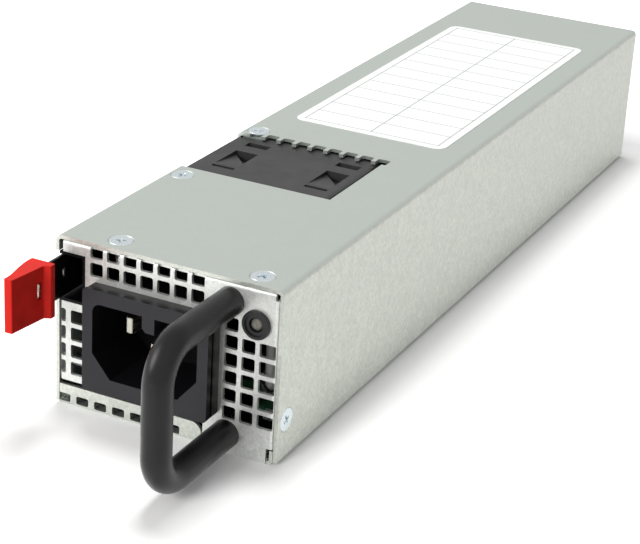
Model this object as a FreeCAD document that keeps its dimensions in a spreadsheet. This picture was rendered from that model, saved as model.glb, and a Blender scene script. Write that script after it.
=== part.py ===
import FreeCAD, Part
import Sketcher
import math
import os

# Hot swap server power supply, in millimetres.
# X runs left to right seen from the handle end, Y from the handle end to the plug-in end, Z up.
# The origin is the middle of the casing's underside.

Vector = FreeCAD.Vector
document = FreeCAD.newDocument("HotSwapPowerSupply")
sheet = document.addObject("Spreadsheet::Sheet", "Dimensions")

# alias: (value, what it is); "from front" is a distance behind the front face
SIZES = {
    # casing
    "case_width": (54.5, "casing, left to right"),
    "case_height": (40.0, "casing, underside to top"),
    "case_length": (228.6, "casing, front face to rear face"),
    "sheet": (0.8, "steel sheet thickness"),
    "bend": (1.3, "outer radius of the sheet's bends"),
    "panel_bend": (0.9, "outer radius of the front panel's bends"),
    "fit": (0.1, "gap between nested sheets"),
    "wall_lift": (0.8, "cover walls stop this far above the underside"),
    "flange_depth": (10.0, "depth of the end panels' flanges"),
    "pan_flange": (12.0, "height of the pan's side flanges"),
    "fan_notch": (0.5, "pan flange cut away this far before and behind the fan"),
    "pan_corner": (3.3, "pan flange height beside the end panels"),
    "lip_height": (5.05, "front lip of the pan"),
    "lip_right": (9.2, "right end of the lip, from the middle"),
    "lip_round": (2.5, "rounded corner of the lip"),
    "lip_gap": (1.2, "gap over the lip"),
    "lip_hole_first": (-25.1, "first lip hole, from the middle"),
    "lip_hole_pitch": (4.58, "spacing of the lip holes"),
    "lip_hole_low": (0.95, "bottom of the lip holes"),
    "lip_hole_top": (2.9, "top of the lip holes"),
    "tab_width": (6.0, "pan tab under each cover screw beside the fan"),
    "tab_reach": (5.0, "how far those tabs reach inwards"),
    "vent_size": (3.1, "square vent hole"),
    "vent_corner": (0.5, "rounded corner of a vent hole"),
    "vent_pitch": (4.09, "spacing of the vent holes"),
    "vent_left": (-17.1, "first column of the vent grid"),
    "vent_low": (9.43, "lowest row of the vent grid"),
    "vent_depth": (2.5, "how deep the holes run into the left bend"),
    "vent_rim": (0.3, "metal left beside the outermost vents"),
    "side_vent": (-21.95, "inner column of the left vents"),
    "side_vent_pitch": (4.35, "spacing of the left vents' columns"),
    "corner_notch": (1.6, "relief at the panel's corners"),
    "foot_notch": (3.6, "height of the notch over the pan's corner"),
    # cover
    "window_front": (50.8, "fan window, near edge from front"),
    "window_rear": (79.5, "fan window, far edge from front"),
    "window_right": (12.3, "fan window, right edge"),
    "window_drop": (3.0, "how far the window runs down the left wall"),
    "comb_pitch": (4.25, "spacing of the notches at the window's far edge"),
    "comb_first": (-22.25, "first notch"),
    "comb_depth": (2.3, "notch depth"),
    # screws
    "screw_head": (2.75, "countersunk head radius"),
    "screw_shank": (1.4, "thread radius"),
    "screw_length": (4.0, "thread length"),
    "screw_play": (0.1, "clearance round a screw"),
    "top_screw_left": (-14.1, "front left top screw"),
    "top_screw_right": (19.8, "front right top screw"),
    "top_screw_back": (4.7, "those screws, from front"),
    "edge_screw_inset": (4.0, "screws beside the fan, from the left face"),
    "edge_screw_front": (45.9, "first of them, from front"),
    "edge_screw_rear": (83.1, "second of them, from front"),
    "side_screw_back": (4.1, "side screw, from front"),
    "side_screw_high": (9.3, "side screw height"),
    # handle
    "rod": (3.2, "handle rod radius"),
    "handle_x": (15.1, "handle, right of the middle"),
    "handle_low": (4.5, "lower arm height"),
    "handle_span": (30.5, "between the arms' axes"),
    "handle_reach": (28.4, "front face to the grip's axis"),
    "handle_bend": (8.0, "bend radius on the rod's axis"),
    "stud": (1.5, "handle screw radius"),
    "stud_depth": (8.0, "handle screw in the rod"),
    "stud_head": (2.9, "handle screw head radius"),
    "stud_head_depth": (2.0, "handle screw head thickness"),
    # mains inlet
    "inlet_x": (-2.2, "middle of the inlet"),
    "inlet_z": (20.15, "middle height of the inlet"),
    "inlet_width": (30.4, "bezel width"),
    "inlet_height": (23.7, "bezel height"),
    "inlet_proud": (5.0, "bezel in front of the panel"),
    "inlet_step": (1.4, "bezel overlap on the panel"),
    "inlet_depth": (20.0, "body behind the panel"),
    "inlet_corner": (1.0, "bezel corner radius"),
    "cavity_width": (25.4, "plug cavity width"),
    "cavity_low": (12.0, "plug cavity floor"),
    "cavity_height": (16.9, "plug cavity height"),
    "cavity_depth": (16.5, "plug cavity depth"),
    "cavity_cut_x": (4.5, "corner cut, across"),
    "cavity_cut_z": (5.3, "corner cut, up"),
    "cavity_corner": (2.0, "upper corners of the cavity"),
    "pin_wide": (2.0, "blade thickness"),
    "pin_tall": (4.0, "blade height"),
    "pin_spacing": (14.0, "line to neutral"),
    "pin_z": (23.0, "line and neutral height"),
    "earth_drop": (4.0, "earth pin below the others"),
    "pin_tip": (0.4, "blade tips, from front"),
    "pin_round": (0.5, "rounded corners of the blade tips"),
    "earth_lead": (1.5, "earth tip ahead of the others"),
    "pin_tail": (25.0, "rear end of the blades, from front"),
    # lamp
    "lamp_x": (21.4, "lamp, right of the middle"),
    "lamp_z": (31.3, "lamp height"),
    "bezel_radius": (3.2, "lamp bezel"),
    "bezel_proud": (0.9, "bezel in front of the panel"),
    "bezel_body": (2.4, "bezel body radius"),
    "bezel_depth": (5.0, "bezel body behind the panel"),
    "bezel_step": (0.9, "width of the recess round the lamp"),
    "bezel_recess": (0.4, "depth of that recess"),
    "lamp_radius": (1.5, "lamp body radius"),
    "lamp_proud": (0.7, "lamp's dome in front of the panel"),
    "cable_radius": (1.3, "lamp cable radius"),
    "cable_drop": (14.0, "height at which the lamp cable turns back"),
    "cable_back": (14.8, "where the lamp cable meets the board, from front"),
    # latch
    "latch_low": (25.1, "latch pocket, lower edge"),
    "latch_high": (36.4, "latch pocket, upper edge"),
    "latch_right": (-20.0, "latch pocket, right edge"),
    "pocket_wall": (0.6, "pocket liner wall"),
    "pocket_depth": (38.0, "pocket liner, from front"),
    "arm_gap": (0.3, "latch arm to the pocket's floor and roof"),
    "arm_sheet": (0.6, "latch arm thickness"),
    "arm_x": (-26.1, "outer face of the latch arm"),
    "arm_front": (18.5, "arm ahead of the front face"),
    "pivot_back": (34.0, "latch pivot, from front"),
    "pivot_pin": (1.0, "pivot pin radius"),
    "pivot_play": (0.05, "pin to knuckle"),
    "knuckle": (1.7, "knuckle radius"),
    "barb_front": (4.0, "catch edge, from front"),
    "barb_rear": (14.0, "rear end of the catch, from front"),
    "barb_out": (2.0, "catch outside the arm"),
    "barb_half": (2.3, "half height of the catch"),
    "arm_slot_near": (0.05, "slot in the latch arm, ahead of the front face"),
    "arm_slot_long": (0.85, "length of that slot"),
    "arm_slot_low": (30.3, "lower end of that slot"),
    "arm_slot_tall": (2.1, "height of that slot"),
    "latch_slot": (17.0, "slot in the cover's left wall, from front"),
    "tab_low": (24.8, "release tab, lower edge"),
    "tab_high": (36.8, "release tab, upper edge"),
    "tab_end": (19.5, "release tab ahead of the front face"),
    "tab_start": (7.2, "back of the release tab ahead of the front face"),
    "spring_sheet": (0.25, "latch leaf spring thickness"),
    # fan
    "fan_size": (38.0, "fan frame, square"),
    "fan_depth": (28.0, "fan frame depth"),
    "fan_front": (51.5, "fan, from front"),
    "fan_gap": (0.25, "fan to the cover's left wall"),
    "fan_bore": (18.1, "fan bore radius"),
    "fan_corner": (2.5, "fan frame corner radius"),
    "fan_hub": (9.4, "rotor hub radius"),
    "fan_blade": (16.0, "blade tip, from the axis"),
    "fan_shaft": (1.5, "shaft radius"),
    "fan_play": (0.04, "shaft to bearing"),
    "bearing_ring": (3.0, "bearing outer radius"),
    "bearing_width": (2.5, "bearing width"),
    "fan_seat": (9.0, "motor seat radius"),
    "fan_strut": (2.0, "strut thickness"),
    # board
    "board_sheet": (1.6, "circuit board thickness"),
    "standoff": (3.3, "board above the pan's floor"),
    "film_front": (2.6, "insulating film on the floor, from front"),
    "film_sheet": (0.3, "insulating film thickness"),
    "board_margin": (2.0, "board edge to the casing's face"),
    "board_fan_gap": (0.8, "board to the fan"),
    "board_front": (12.6, "right arm of the board, from front"),
    "board_step": (22.0, "left part of the board, from front"),
    "board_arm": (12.75, "left edge of the right arm, from the right face"),
    "board_rear_gap": (2.0, "board shoulders to the rear panel"),
    "edge_width": (34.0, "card edge width"),
    "edge_reach": (9.0, "card edge behind the casing"),
    "contact_pitch": (2.54, "card edge contact spacing"),
    "contact_width": (1.8, "card edge contact width"),
    "contact_sheet": (0.08, "card edge contact thickness"),
    "contact_count": (12, "contacts on each face"),
    "label_sheet": (0.1, "rating label thickness"),
    "rear_pitch": (4.5, "spacing of the rear vents"),
    "rear_vent_low": (11.0, "lowest row of the rear vents"),
    "edge_play": (0.6, "card edge to its opening"),
    "inlet_flange": (1.6, "front flange of the bezel, before its groove"),
    "inlet_groove": (0.7, "groove round the bezel's sides"),
    "ledge_drop": (0.7, "bezel's top behind its front edge lies this much lower"),
    "ledge_rim": (0.9, "thickness of that front edge"),
    "key_left": (0.6, "ridge on the cavity's ceiling, left of the inlet's middle"),
    "key_right": (2.4, "that ridge, right of the middle"),
    "key_height": (3.6, "how far the ridge hangs down"),
    "key_slant": (0.9, "slanted corner of the ridge"),
    "spring_bow": (3.2, "leaf spring stands off the pocket's wall"),
    "fan_hole_spacing": (32.0, "fan corner holes"),
    "fan_hole": (1.75, "fan corner hole radius"),
    "recess_left": (-12.3, "left set of recesses, from the fan's axis"),
    "recess_right": (12.15, "right set of recesses, from the fan's axis"),
    "recess_width": (5.9, "recess width"),
    "recess_depth": (1.1, "recess depth"),
    "pocket_deep": (2.4, "depth of the three-cornered pocket in each recess"),
    "edge_step": (1.4, "step along the frame's right upper edge"),
    "edge_step_deep": (1.5, "depth of that step"),
    "side_rim": (0.6, "lower rim along the frame's lip over the casing's left wall"),
    "side_rim_drop": (0.4, "how much lower that rim is"),
    "fan_lip": (2.8, "lip behind the frame, under the window's notches"),
    "fan_lip_inset": (6.0, "that lip from the frame's left side"),
    "tube_wall": (0.7, "bearing tube wall"),
    "tube_length": (18.0, "bearing tube length"),
    "stator": (7.6, "stator radius"),
    "hub_wall": (1.2, "rotor hub wall"),
    "hub_setback": (2.0, "rotor hub behind the fan's front"),
    "blade_count": (5, "fan blades"),
    "blade_sheet": (1.1, "fan blade thickness"),
    "standoff_inset": (4.4, "standoffs from the casing's faces"),
    "standoff_radius": (2.1, "standoff radius"),
    "label_front": (96.3, "rating label, near edge from front"),
    "label_rear": (199.8, "rating label, far edge from front"),
    "label_left": (-20.3, "rating label, left edge"),
    "label_right": (20.6, "rating label, right edge"),
    # parts on the board
    "choke_y": (38.0, "input choke, from front"),
    "choke_inset": (8.25, "input choke, from the right face"),
    "choke_radius": (8.2, "input choke core radius"),
    "choke_bore": (4.6, "input choke core bore radius"),
    "choke_width": (5.6, "input choke core width"),
    "winding_wall": (0.9, "choke winding thickness"),
    "fuse_inset": (9.85, "fuse, from the right face"),
    "fuse_near": (16.0, "fuse, from front"),
    "fuse_length": (12.0, "fuse length"),
    "fuse_radius": (2.5, "fuse radius"),
    "fuse_lift": (4.6, "fuse axis above the board"),
    "inductor_x": (-9.0, "power factor inductor"),
    "inductor_y": (98.0, "power factor inductor, from front"),
    "inductor_radius": (12.5, "power factor inductor radius"),
    "inductor_bore": (4.5, "power factor inductor bore radius"),
    "inductor_tall": (13.0, "power factor inductor height"),
    "bulk_x": (-9.5, "bulk capacitor"),
    "bulk_near": (113.0, "bulk capacitor, from front"),
    "bulk_length": (46.0, "bulk capacitor length"),
    "bulk_radius": (14.0, "bulk capacitor radius"),
    "sink_left": (13.25, "heat sinks, web's left face from the right face"),
    "sink_right": (2.75, "heat sinks, fin tips from the right face"),
    "sink_tall": (27.0, "heat sink height"),
    "sink_web": (2.0, "heat sink web"),
    "sink_fin": (1.2, "heat sink fin"),
    "sink_pitch": (5.0, "heat sink fin spacing"),
    "device_width": (10.0, "power device width"),
    "device_tall": (15.0, "power device height"),
    "device_sheet": (4.4, "power device thickness"),
    "core_x": (-10.0, "main transformer"),
    "core_y": (177.0, "main transformer, from front"),
    "core_width": (22.0, "main transformer core, across"),
    "core_long": (28.0, "main transformer core, along"),
    "core_tall": (25.0, "main transformer core height"),
    "standby_x": (15.0, "standby transformer"),
    "standby_y": (168.0, "standby transformer, from front"),
    "standby_width": (10.0, "standby transformer core, across"),
    "standby_long": (15.0, "standby transformer core, along"),
    "standby_tall": (14.0, "standby transformer height"),
    "output_x": (-12.0, "output inductor"),
    "output_y": (202.5, "output inductor, from front"),
    "output_radius": (8.5, "output inductor radius"),
    "output_bore": (3.5, "output inductor bore radius"),
    "output_tall": (10.0, "output inductor height"),
    "can_first": (-16.0, "first output capacitor"),
    "can_pitch": (9.0, "spacing of the output capacitors"),
    "can_count": (4, "output capacitors"),
    "can_radius": (4.0, "output capacitor radius"),
    "can_tall": (16.0, "output capacitor height"),
    "can_back": (218.0, "output capacitors, from front"),
    "mains_wire": (1.0, "mains wire radius"),
    "signal_wire": (0.35, "signal wire radius"),
    "wire_bend": (1.6, "bend radius of the wires"),
}

# upright parts on the board: left, right, near, far (from front) and height
BLOCKS = {
    "filter_capacitor": (-12.0, 6.0, 30.5, 38.0, 15.0),
    "inrush_relay": (-6.0, 9.0, 39.2, 49.2, 14.0),
    "bridge_rectifier": (14.4, 18.0, 53.0, 75.0, 18.0),
    "control_card": (6.0, 7.2, 180.0, 212.0, 24.0),
}
for part_name, measures in BLOCKS.items():
    for word, measure in zip(("left", "right", "near", "far", "tall"), measures):
        SIZES[f"{part_name}_{word}"] = (measure, part_name.replace("_", " ") + ", " + word)


class Size:
    # a number together with the spreadsheet expression that gives it

    def __init__(self, value, text):
        self.value = value
        self.text = text

    def __add__(self, other):
        other = as_size(other)
        return Size(self.value + other.value, f"({self.text} + {other.text})")

    def __sub__(self, other):
        other = as_size(other)
        return Size(self.value - other.value, f"({self.text} - {other.text})")

    def __mul__(self, other):
        other = as_size(other)
        return Size(self.value * other.value, f"({self.text} * {other.text})")

    def __truediv__(self, other):
        other = as_size(other)
        return Size(self.value / other.value, f"({self.text} / {other.text})")

    def __radd__(self, other):
        return as_size(other) + self

    def __rsub__(self, other):
        return as_size(other) - self

    def __rmul__(self, other):
        return as_size(other) * self

    def __neg__(self):
        return Size(-self.value, f"(0 - {self.text})")


def as_size(number):
    if isinstance(number, Size):
        return number
    text = f"{abs(number):g}"
    return Size(float(number), text if number >= 0 else f"(0 - {text})")


class Dimensions:
    pass


def read_sizes():
    sizes = Dimensions()
    for row, (alias, (value, note)) in enumerate(SIZES.items(), start=1):
        sheet.set(f"A{row}", alias)
        sheet.set(f"B{row}", str(value))
        sheet.set(f"C{row}", note)
        sheet.setAlias(f"B{row}", alias)
        setattr(sizes, alias, Size(float(value), f"Dimensions.{alias}"))
    document.recompute()
    return sizes


d = read_sizes()

# faces and axes that many pieces share
half = d.case_width / 2
front = -d.case_length / 2
rear = d.case_length / 2
top = d.case_height
wall_inner = half - d.sheet
nest_half = wall_inner - d.fit
under_top = top - d.sheet - d.fit
inner_bend = d.bend - d.sheet
panel_inner_bend = d.panel_bend - d.sheet
floor = d.sheet
board_low = floor + d.standoff
board_top = board_low + d.board_sheet
fan_left = -wall_inner + d.fan_gap
fan_x = fan_left + d.fan_size / 2
fan_z = floor + d.fan_size / 2


def back(distance):
    return front + distance


def bind(item, name, size):
    size = as_size(size)
    if "Dimensions" in size.text:
        item.setExpression(name, size.text)
    else:
        setattr(item, name, size.value if size.value % 1 else int(size.value))


def new_body(label):
    body = document.addObject("PartDesign::Body", label)
    body.Label = label
    return body


PLANES = {"X": ("YZ_Plane", 1), "Y": ("XZ_Plane", -1), "Z": ("XY_Plane", 1)}


def sketch_on(body, name, axis, offset, shift=(0, 0)):
    # a sketch square to an axis: it draws (y, z), (x, z) or (x, y)
    role, sign = PLANES[axis]
    sketch = body.newObject("Sketcher::SketchObject", name)
    plane = [item for item in body.Origin.OriginFeatures if item.Role == role][0]
    sketch.AttachmentSupport = [(plane, "")]
    sketch.MapMode = "FlatFace"
    for part, place in zip("xyz", (shift[0], shift[1], sign * as_size(offset))):
        sketch.setExpression(f"AttachmentOffset.Base.{part}", as_size(place).text)
    return sketch


def dimension(sketch, kind, *places):
    *where, size = places
    size = as_size(size)
    index = sketch.addConstraint(Sketcher.Constraint(kind, *where, size.value))
    if "Dimensions" in size.text:
        sketch.setExpression(f"Constraints[{index}]", size.text)


def locate(sketch, item, point, x, y):
    dimension(sketch, "DistanceX", -1, 1, item, point, x)
    dimension(sketch, "DistanceY", -1, 1, item, point, y)


def circle(sketch, x, y, radius):
    x, y, radius = as_size(x), as_size(y), as_size(radius)
    middle = Vector(x.value, y.value, 0)
    item = sketch.addGeometry(Part.Circle(middle, Vector(0, 0, 1), radius.value))
    locate(sketch, item, 3, x, y)
    dimension(sketch, "Radius", item, radius)


def box(x0, x1, y0, y1, corner=0):
    return [(x0, y0, corner), (x1, y0, corner), (x1, y1, corner), (x0, y1, corner)]


def box_between(x0, x1, y0, y1, corner=0):
    # the same outline as box, with its two x values in either order
    if x0.value > x1.value:
        x0, x1 = x1, x0
    return box(x0, x1, y0, y1, corner)


def corner_arc(before, here, after, radius):
    # the arc that rounds a corner, its two ends, and whether it runs from the first to the second
    to_before = (before - here).normalize()
    to_after = (after - here).normalize()
    opening = to_before.getAngle(to_after)
    reach = radius / math.tan(opening / 2)
    middle = here + (to_before + to_after).normalize() * (radius / math.sin(opening / 2))
    start = here + to_before * reach
    end = here + to_after * reach
    forward = (here - before).cross(after - here).z > 0
    first, last = (start, end) if forward else (end, start)
    angles = [math.atan2((p - middle).y, (p - middle).x) for p in (first, last)]
    arc = Part.ArcOfCircle(Part.Circle(middle, Vector(0, 0, 1), radius), *angles)
    return arc, start, end, forward


def outline(sketch, corners, closed=True):
    # straight edges through the corners; a corner with a radius is an arc tangent to both edges
    corners = [tuple(as_size(part) for part in (*corner, 0)[:3]) for corner in corners]
    count = len(corners)
    points = [Vector(x.value, y.value, 0) for x, y, _ in corners]
    arcs = {}
    for i, (_, _, radius) in enumerate(corners):
        if radius.value > 0:
            arcs[i] = corner_arc(points[i - 1], points[i], points[(i + 1) % count], radius.value)
    edges = count if closed else count - 1
    lines = []
    for i in range(edges):
        start = arcs[i][2] if i in arcs else points[i]
        end = arcs[(i + 1) % count][1] if (i + 1) % count in arcs else points[(i + 1) % count]
        lines.append(sketch.addGeometry(Part.LineSegment(start, end)))
    for i, (x, y, radius) in enumerate(corners):
        previous = lines[i - 1] if closed or i > 0 else None
        following = lines[i] if i < edges else None
        if i not in arcs:
            if previous is not None and following is not None:
                sketch.addConstraint(Sketcher.Constraint("Coincident", previous, 2, following, 1))
            if following is not None:
                locate(sketch, following, 1, x, y)
            else:
                locate(sketch, previous, 2, x, y)
            continue
        arc = sketch.addGeometry(arcs[i][0])
        first, last = (1, 2) if arcs[i][3] else (2, 1)
        sketch.addConstraint(Sketcher.Constraint("Tangent", previous, 2, arc, first))
        sketch.addConstraint(Sketcher.Constraint("Tangent", arc, last, following, 1))
        dimension(sketch, "Radius", arc, radius)
        meeting = sketch.addGeometry(Part.Point(points[i]), True)
        sketch.addConstraint(Sketcher.Constraint("PointOnObject", meeting, 1, previous))
        sketch.addConstraint(Sketcher.Constraint("PointOnObject", meeting, 1, following))
        locate(sketch, meeting, 1, x, y)


def draw(sketch, shapes):
    # a shape is a list of corners, or a circle as (x, y, radius)
    for shape in shapes:
        if isinstance(shape, tuple):
            circle(sketch, *shape)
        else:
            outline(sketch, shape)


def extrude(body, name, axis, start, end, *shapes, cut=False, taper=0):
    # pads the shapes from start to end along an axis, or cuts them away
    start, end = as_size(start), as_size(end)
    ahead = end.value > start.value
    sketch = sketch_on(body, name + "_sketch", axis, start)
    draw(sketch, shapes)
    feature = body.newObject("PartDesign::Pocket" if cut else "PartDesign::Pad", name)
    feature.Profile = sketch
    bind(feature, "Length", end - start if ahead else start - end)
    natural = (PLANES[axis][1] > 0) != cut
    feature.Reversed = ahead != natural
    feature.TaperAngle = taper
    sketch.Visibility = False
    return feature


def cut(body, name, axis, start, end, *shapes, taper=0):
    return extrude(body, name, axis, start, end, *shapes, cut=True, taper=taper)


def revolve(body, name, axis, middle, *shapes, cut=False):
    # turns corners given as (radius, distance along the axis) about an axis through middle
    a, b = middle
    if axis == "Y":
        sketch = sketch_on(body, name + "_sketch", "Z", b, (a, 0))
        spin = "V_Axis"
    elif axis == "Z":
        sketch = sketch_on(body, name + "_sketch", "Y", b, (a, 0))
        spin = "V_Axis"
    else:
        sketch = sketch_on(body, name + "_sketch", "Z", b, (0, a))
        spin = "H_Axis"
        shapes = [[(corner[1], corner[0], *corner[2:]) for corner in shape] for shape in shapes]
    draw(sketch, shapes)
    feature = body.newObject("PartDesign::Groove" if cut else "PartDesign::Revolution", name)
    feature.Profile = sketch
    feature.ReferenceAxis = (sketch, [spin])
    feature.Angle = 360
    return feature


def repeat(body, feature, *runs):
    # copies a feature along its sketch's axes: each run is (H or V, spacing, count)
    sketch = feature.Profile[0]
    patterns = []
    for letter, spacing, count in runs:
        pattern = body.newObject("PartDesign::LinearPattern", feature.Name + "_" + letter)
        pattern.Direction = (sketch, [letter + "_Axis"])
        pattern.Mode = "Spacing"
        bind(pattern, "Offset", spacing)
        bind(pattern, "Occurrences", count)
        patterns.append(pattern)
    if len(patterns) == 1:
        patterns[0].Originals = [feature]
        body.Tip = patterns[0]
        return
    together = body.newObject("PartDesign::MultiTransform", feature.Name + "_grid")
    together.Originals = [feature]
    together.Transformations = patterns
    body.Tip = together


def pipe(body, name, x, route, radius):
    # a round bar or wire along a route of (y, z, bend radius) at one x, starting along Y
    path = sketch_on(body, name + "_route", "X", x)
    outline(path, route, closed=False)
    section = sketch_on(body, name + "_section", "Y", route[0][0])
    circle(section, x, route[0][1], radius)
    feature = body.newObject("PartDesign::AdditivePipe", name)
    feature.Profile = section
    bends = [corner for corner in route if len(corner) == 3]
    edges = len(route) - 1 + len(bends)
    feature.Spine = (path, [f"Edge{i + 1}" for i in range(edges)])
    return feature


def u_section(half_width, low, high):
    # the sheet's section: a flat web with two legs, open below
    inner = half_width - d.sheet
    return [(-half_width, low), (-inner, low), (-inner, high - d.sheet, inner_bend),
            (inner, high - d.sheet, inner_bend), (inner, low), (half_width, low),
            (half_width, high, d.bend), (-half_width, high, d.bend)]


def top_screws():
    # where the four countersunk screws stand in the top
    edge = -half + d.edge_screw_inset
    return [(d.top_screw_left, back(d.top_screw_back)), (d.top_screw_right, back(d.top_screw_back)),
            (edge, back(d.edge_screw_front)), (edge, back(d.edge_screw_rear))]


side_screw = (back(d.side_screw_back), d.side_screw_high)
cone_radius = d.screw_head + d.screw_play
shank_hole = d.screw_shank + d.screw_play
nested_depth = d.sheet + d.fit


def countersink(body, name, axis, face, inward, places):
    # conical holes through the outer sheet
    cut(body, name, axis, face, face + inward * d.sheet,
        *[(x, y, cone_radius) for x, y in places], taper=-45)


def nested_countersink(body, name, axis, face, inward, places):
    # the same cone carried on into the nested sheet, and the hole for the thread
    cone = cone_radius - nested_depth
    cut(body, name + "_cone", axis, face, face + inward * (cone - shank_hole),
        *[(x, y, cone) for x, y in places], taper=-45)
    cut(body, name, axis, face, face + inward * (d.screw_length + d.sheet),
        *[(x, y, shank_hole) for x, y in places])


def top_cover():
    body = new_body("top_cover")
    extrude(body, "cover_shell", "Y", front, rear, u_section(half, d.wall_lift, top))
    cut(body, "fan_window", "Z", top + d.fit, top - 2 * d.bend,
        box(-half - d.fit, d.window_right, back(d.window_front), back(d.window_rear)))
    cut(body, "window_side", "X", -half - d.fit, -wall_inner + d.bend,
        box(back(d.window_front), back(d.window_rear), top - d.window_drop, top + d.fit))
    notch = cut(body, "comb_notch", "Z", top + d.fit, top - 2 * d.sheet,
                box(d.comb_first - d.vent_size / 2, d.comb_first + d.vent_size / 2,
                    back(d.window_rear - 1), back(d.window_rear + d.comb_depth), d.vent_corner))
    repeat(body, notch, ("H", d.comb_pitch, 9))
    cut(body, "latch_opening", "X", -half - d.fit, -wall_inner + d.bend,
        box(front - d.fit, back(d.latch_slot), d.latch_low, d.latch_high))
    countersink(body, "top_screw_hole", "Z", top, -1, top_screws())
    countersink(body, "right_screw_hole", "X", half, -1, [side_screw])
    countersink(body, "left_screw_hole", "X", -half, 1, [side_screw])
    return body


# left end of the pan's corner that shows under the front panel
foot_left = nest_half - d.bend - d.fit / 2


def bottom_pan():
    body = new_body("bottom_pan")
    inner = nest_half - d.sheet
    section = [(-nest_half, 0, d.bend), (nest_half, 0, d.bend), (nest_half, d.pan_flange),
               (inner, d.pan_flange), (inner, floor, inner_bend), (-inner, floor, inner_bend),
               (-inner, d.pan_flange), (-nest_half, d.pan_flange)]
    start = back(d.bend)
    extrude(body, "pan_shell", "Y", start, rear, section)
    gap = d.flange_depth + 5 * d.fit
    for name, y0, y1 in (("front_clearance", start - 1, back(gap)), ("rear_clearance", rear - gap, rear + 1)):
        cut(body, name, "X", -half, half, box(y0, y1, d.pan_corner, d.pan_flange + 1))
    beside_fan = back(d.fan_front) - d.fan_notch
    cut(body, "fan_clearance", "Z", d.pan_flange + 1, floor,
        box(-half, -inner + inner_bend, beside_fan, beside_fan + d.fan_depth + 2 * d.fan_notch))
    lip_left = -nest_half
    lip = [(front, 0, d.bend), (back(2 * d.bend), 0), (back(2 * d.bend), floor),
           (back(d.sheet), floor, inner_bend), (back(d.sheet), d.lip_height), (front, d.lip_height)]
    extrude(body, "front_lip", "X", lip_left, d.lip_right, lip)
    side = d.lip_right - d.lip_round - d.fit
    below = d.lip_height - d.lip_round - d.fit
    corner = [(side, d.lip_height), (d.lip_right, d.lip_height, d.lip_round), (d.lip_right, below),
              (d.lip_right + 1, below), (d.lip_right + 1, d.lip_height + 1), (side, d.lip_height + 1)]
    cut(body, "lip_corner", "Y", front - d.fit, back(d.sheet) + d.fit, corner)
    hole = cut(body, "lip_hole", "Y", front - d.fit, back(d.vent_depth),
               box(d.lip_hole_first - d.vent_size / 2, d.lip_hole_first + d.vent_size / 2,
                   d.lip_hole_low, d.lip_hole_top, d.vent_corner))
    repeat(body, hole, ("H", d.lip_hole_pitch, 7))
    foot = [(foot_left, 0), (nest_half, 0, d.bend), (nest_half, d.pan_corner), (inner, d.pan_corner),
            (inner, floor, inner_bend), (foot_left, floor)]
    extrude(body, "right_foot", "Y", front, start + d.sheet, foot)
    arm = [(-nest_half, d.pan_flange - 1), (-inner, d.pan_flange - 1),
           (-inner, under_top - d.sheet, inner_bend), (-inner + d.tab_reach, under_top - d.sheet),
           (-inner + d.tab_reach, under_top), (-nest_half, under_top, d.bend)]
    for name, place in (("front_tab", d.edge_screw_front), ("rear_tab", d.edge_screw_rear)):
        extrude(body, name, "Y", back(place - d.tab_width / 2), back(place + d.tab_width / 2), arm)
    nested_countersink(body, "tab_hole", "Z", under_top, -1, top_screws()[2:])
    return body


def panel_section(bottom):
    # front wall and top flange of the front panel
    return [(front, bottom), (back(d.sheet), bottom), (back(d.sheet), under_top - d.sheet, panel_inner_bend),
            (back(d.flange_depth), under_top - d.sheet), (back(d.flange_depth), under_top),
            (front, under_top, d.panel_bend)]


def side_flange(side):
    # front wall's end, bend and side flange, seen from above
    outer = side * nest_half
    inner = side * (nest_half - d.sheet)
    start = side * (nest_half - 2 * d.panel_bend)
    return [(start, front), (outer, front, d.panel_bend), (outer, back(d.flange_depth)),
            (inner, back(d.flange_depth)), (inner, back(d.sheet), panel_inner_bend), (start, back(d.sheet))]


def vent_block(body, name, x, z, columns, rows):
    reach = d.vent_size / 2
    hole = cut(body, name, "Y", front - d.fit, back(d.sheet) + d.fit,
               box(x - reach, x + reach, z - reach, z + reach, d.vent_corner))
    runs = [("H", d.vent_pitch, columns)] if columns > 1 else []
    repeat(body, hole, *runs, ("V", d.vent_pitch, rows))


def edge_vents(body, name, side, inner_edge, depth, rows):
    # the outermost column, whose holes run on into the bend
    low = d.vent_low - d.vent_size / 2
    outer_edge = side * (nest_half - d.vent_rim)
    hole = cut(body, name, "Y", front - d.fit, back(depth),
               box_between(inner_edge, outer_edge, low, low + d.vent_size, d.vent_corner))
    repeat(body, hole, ("V", d.vent_pitch, rows))


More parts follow.
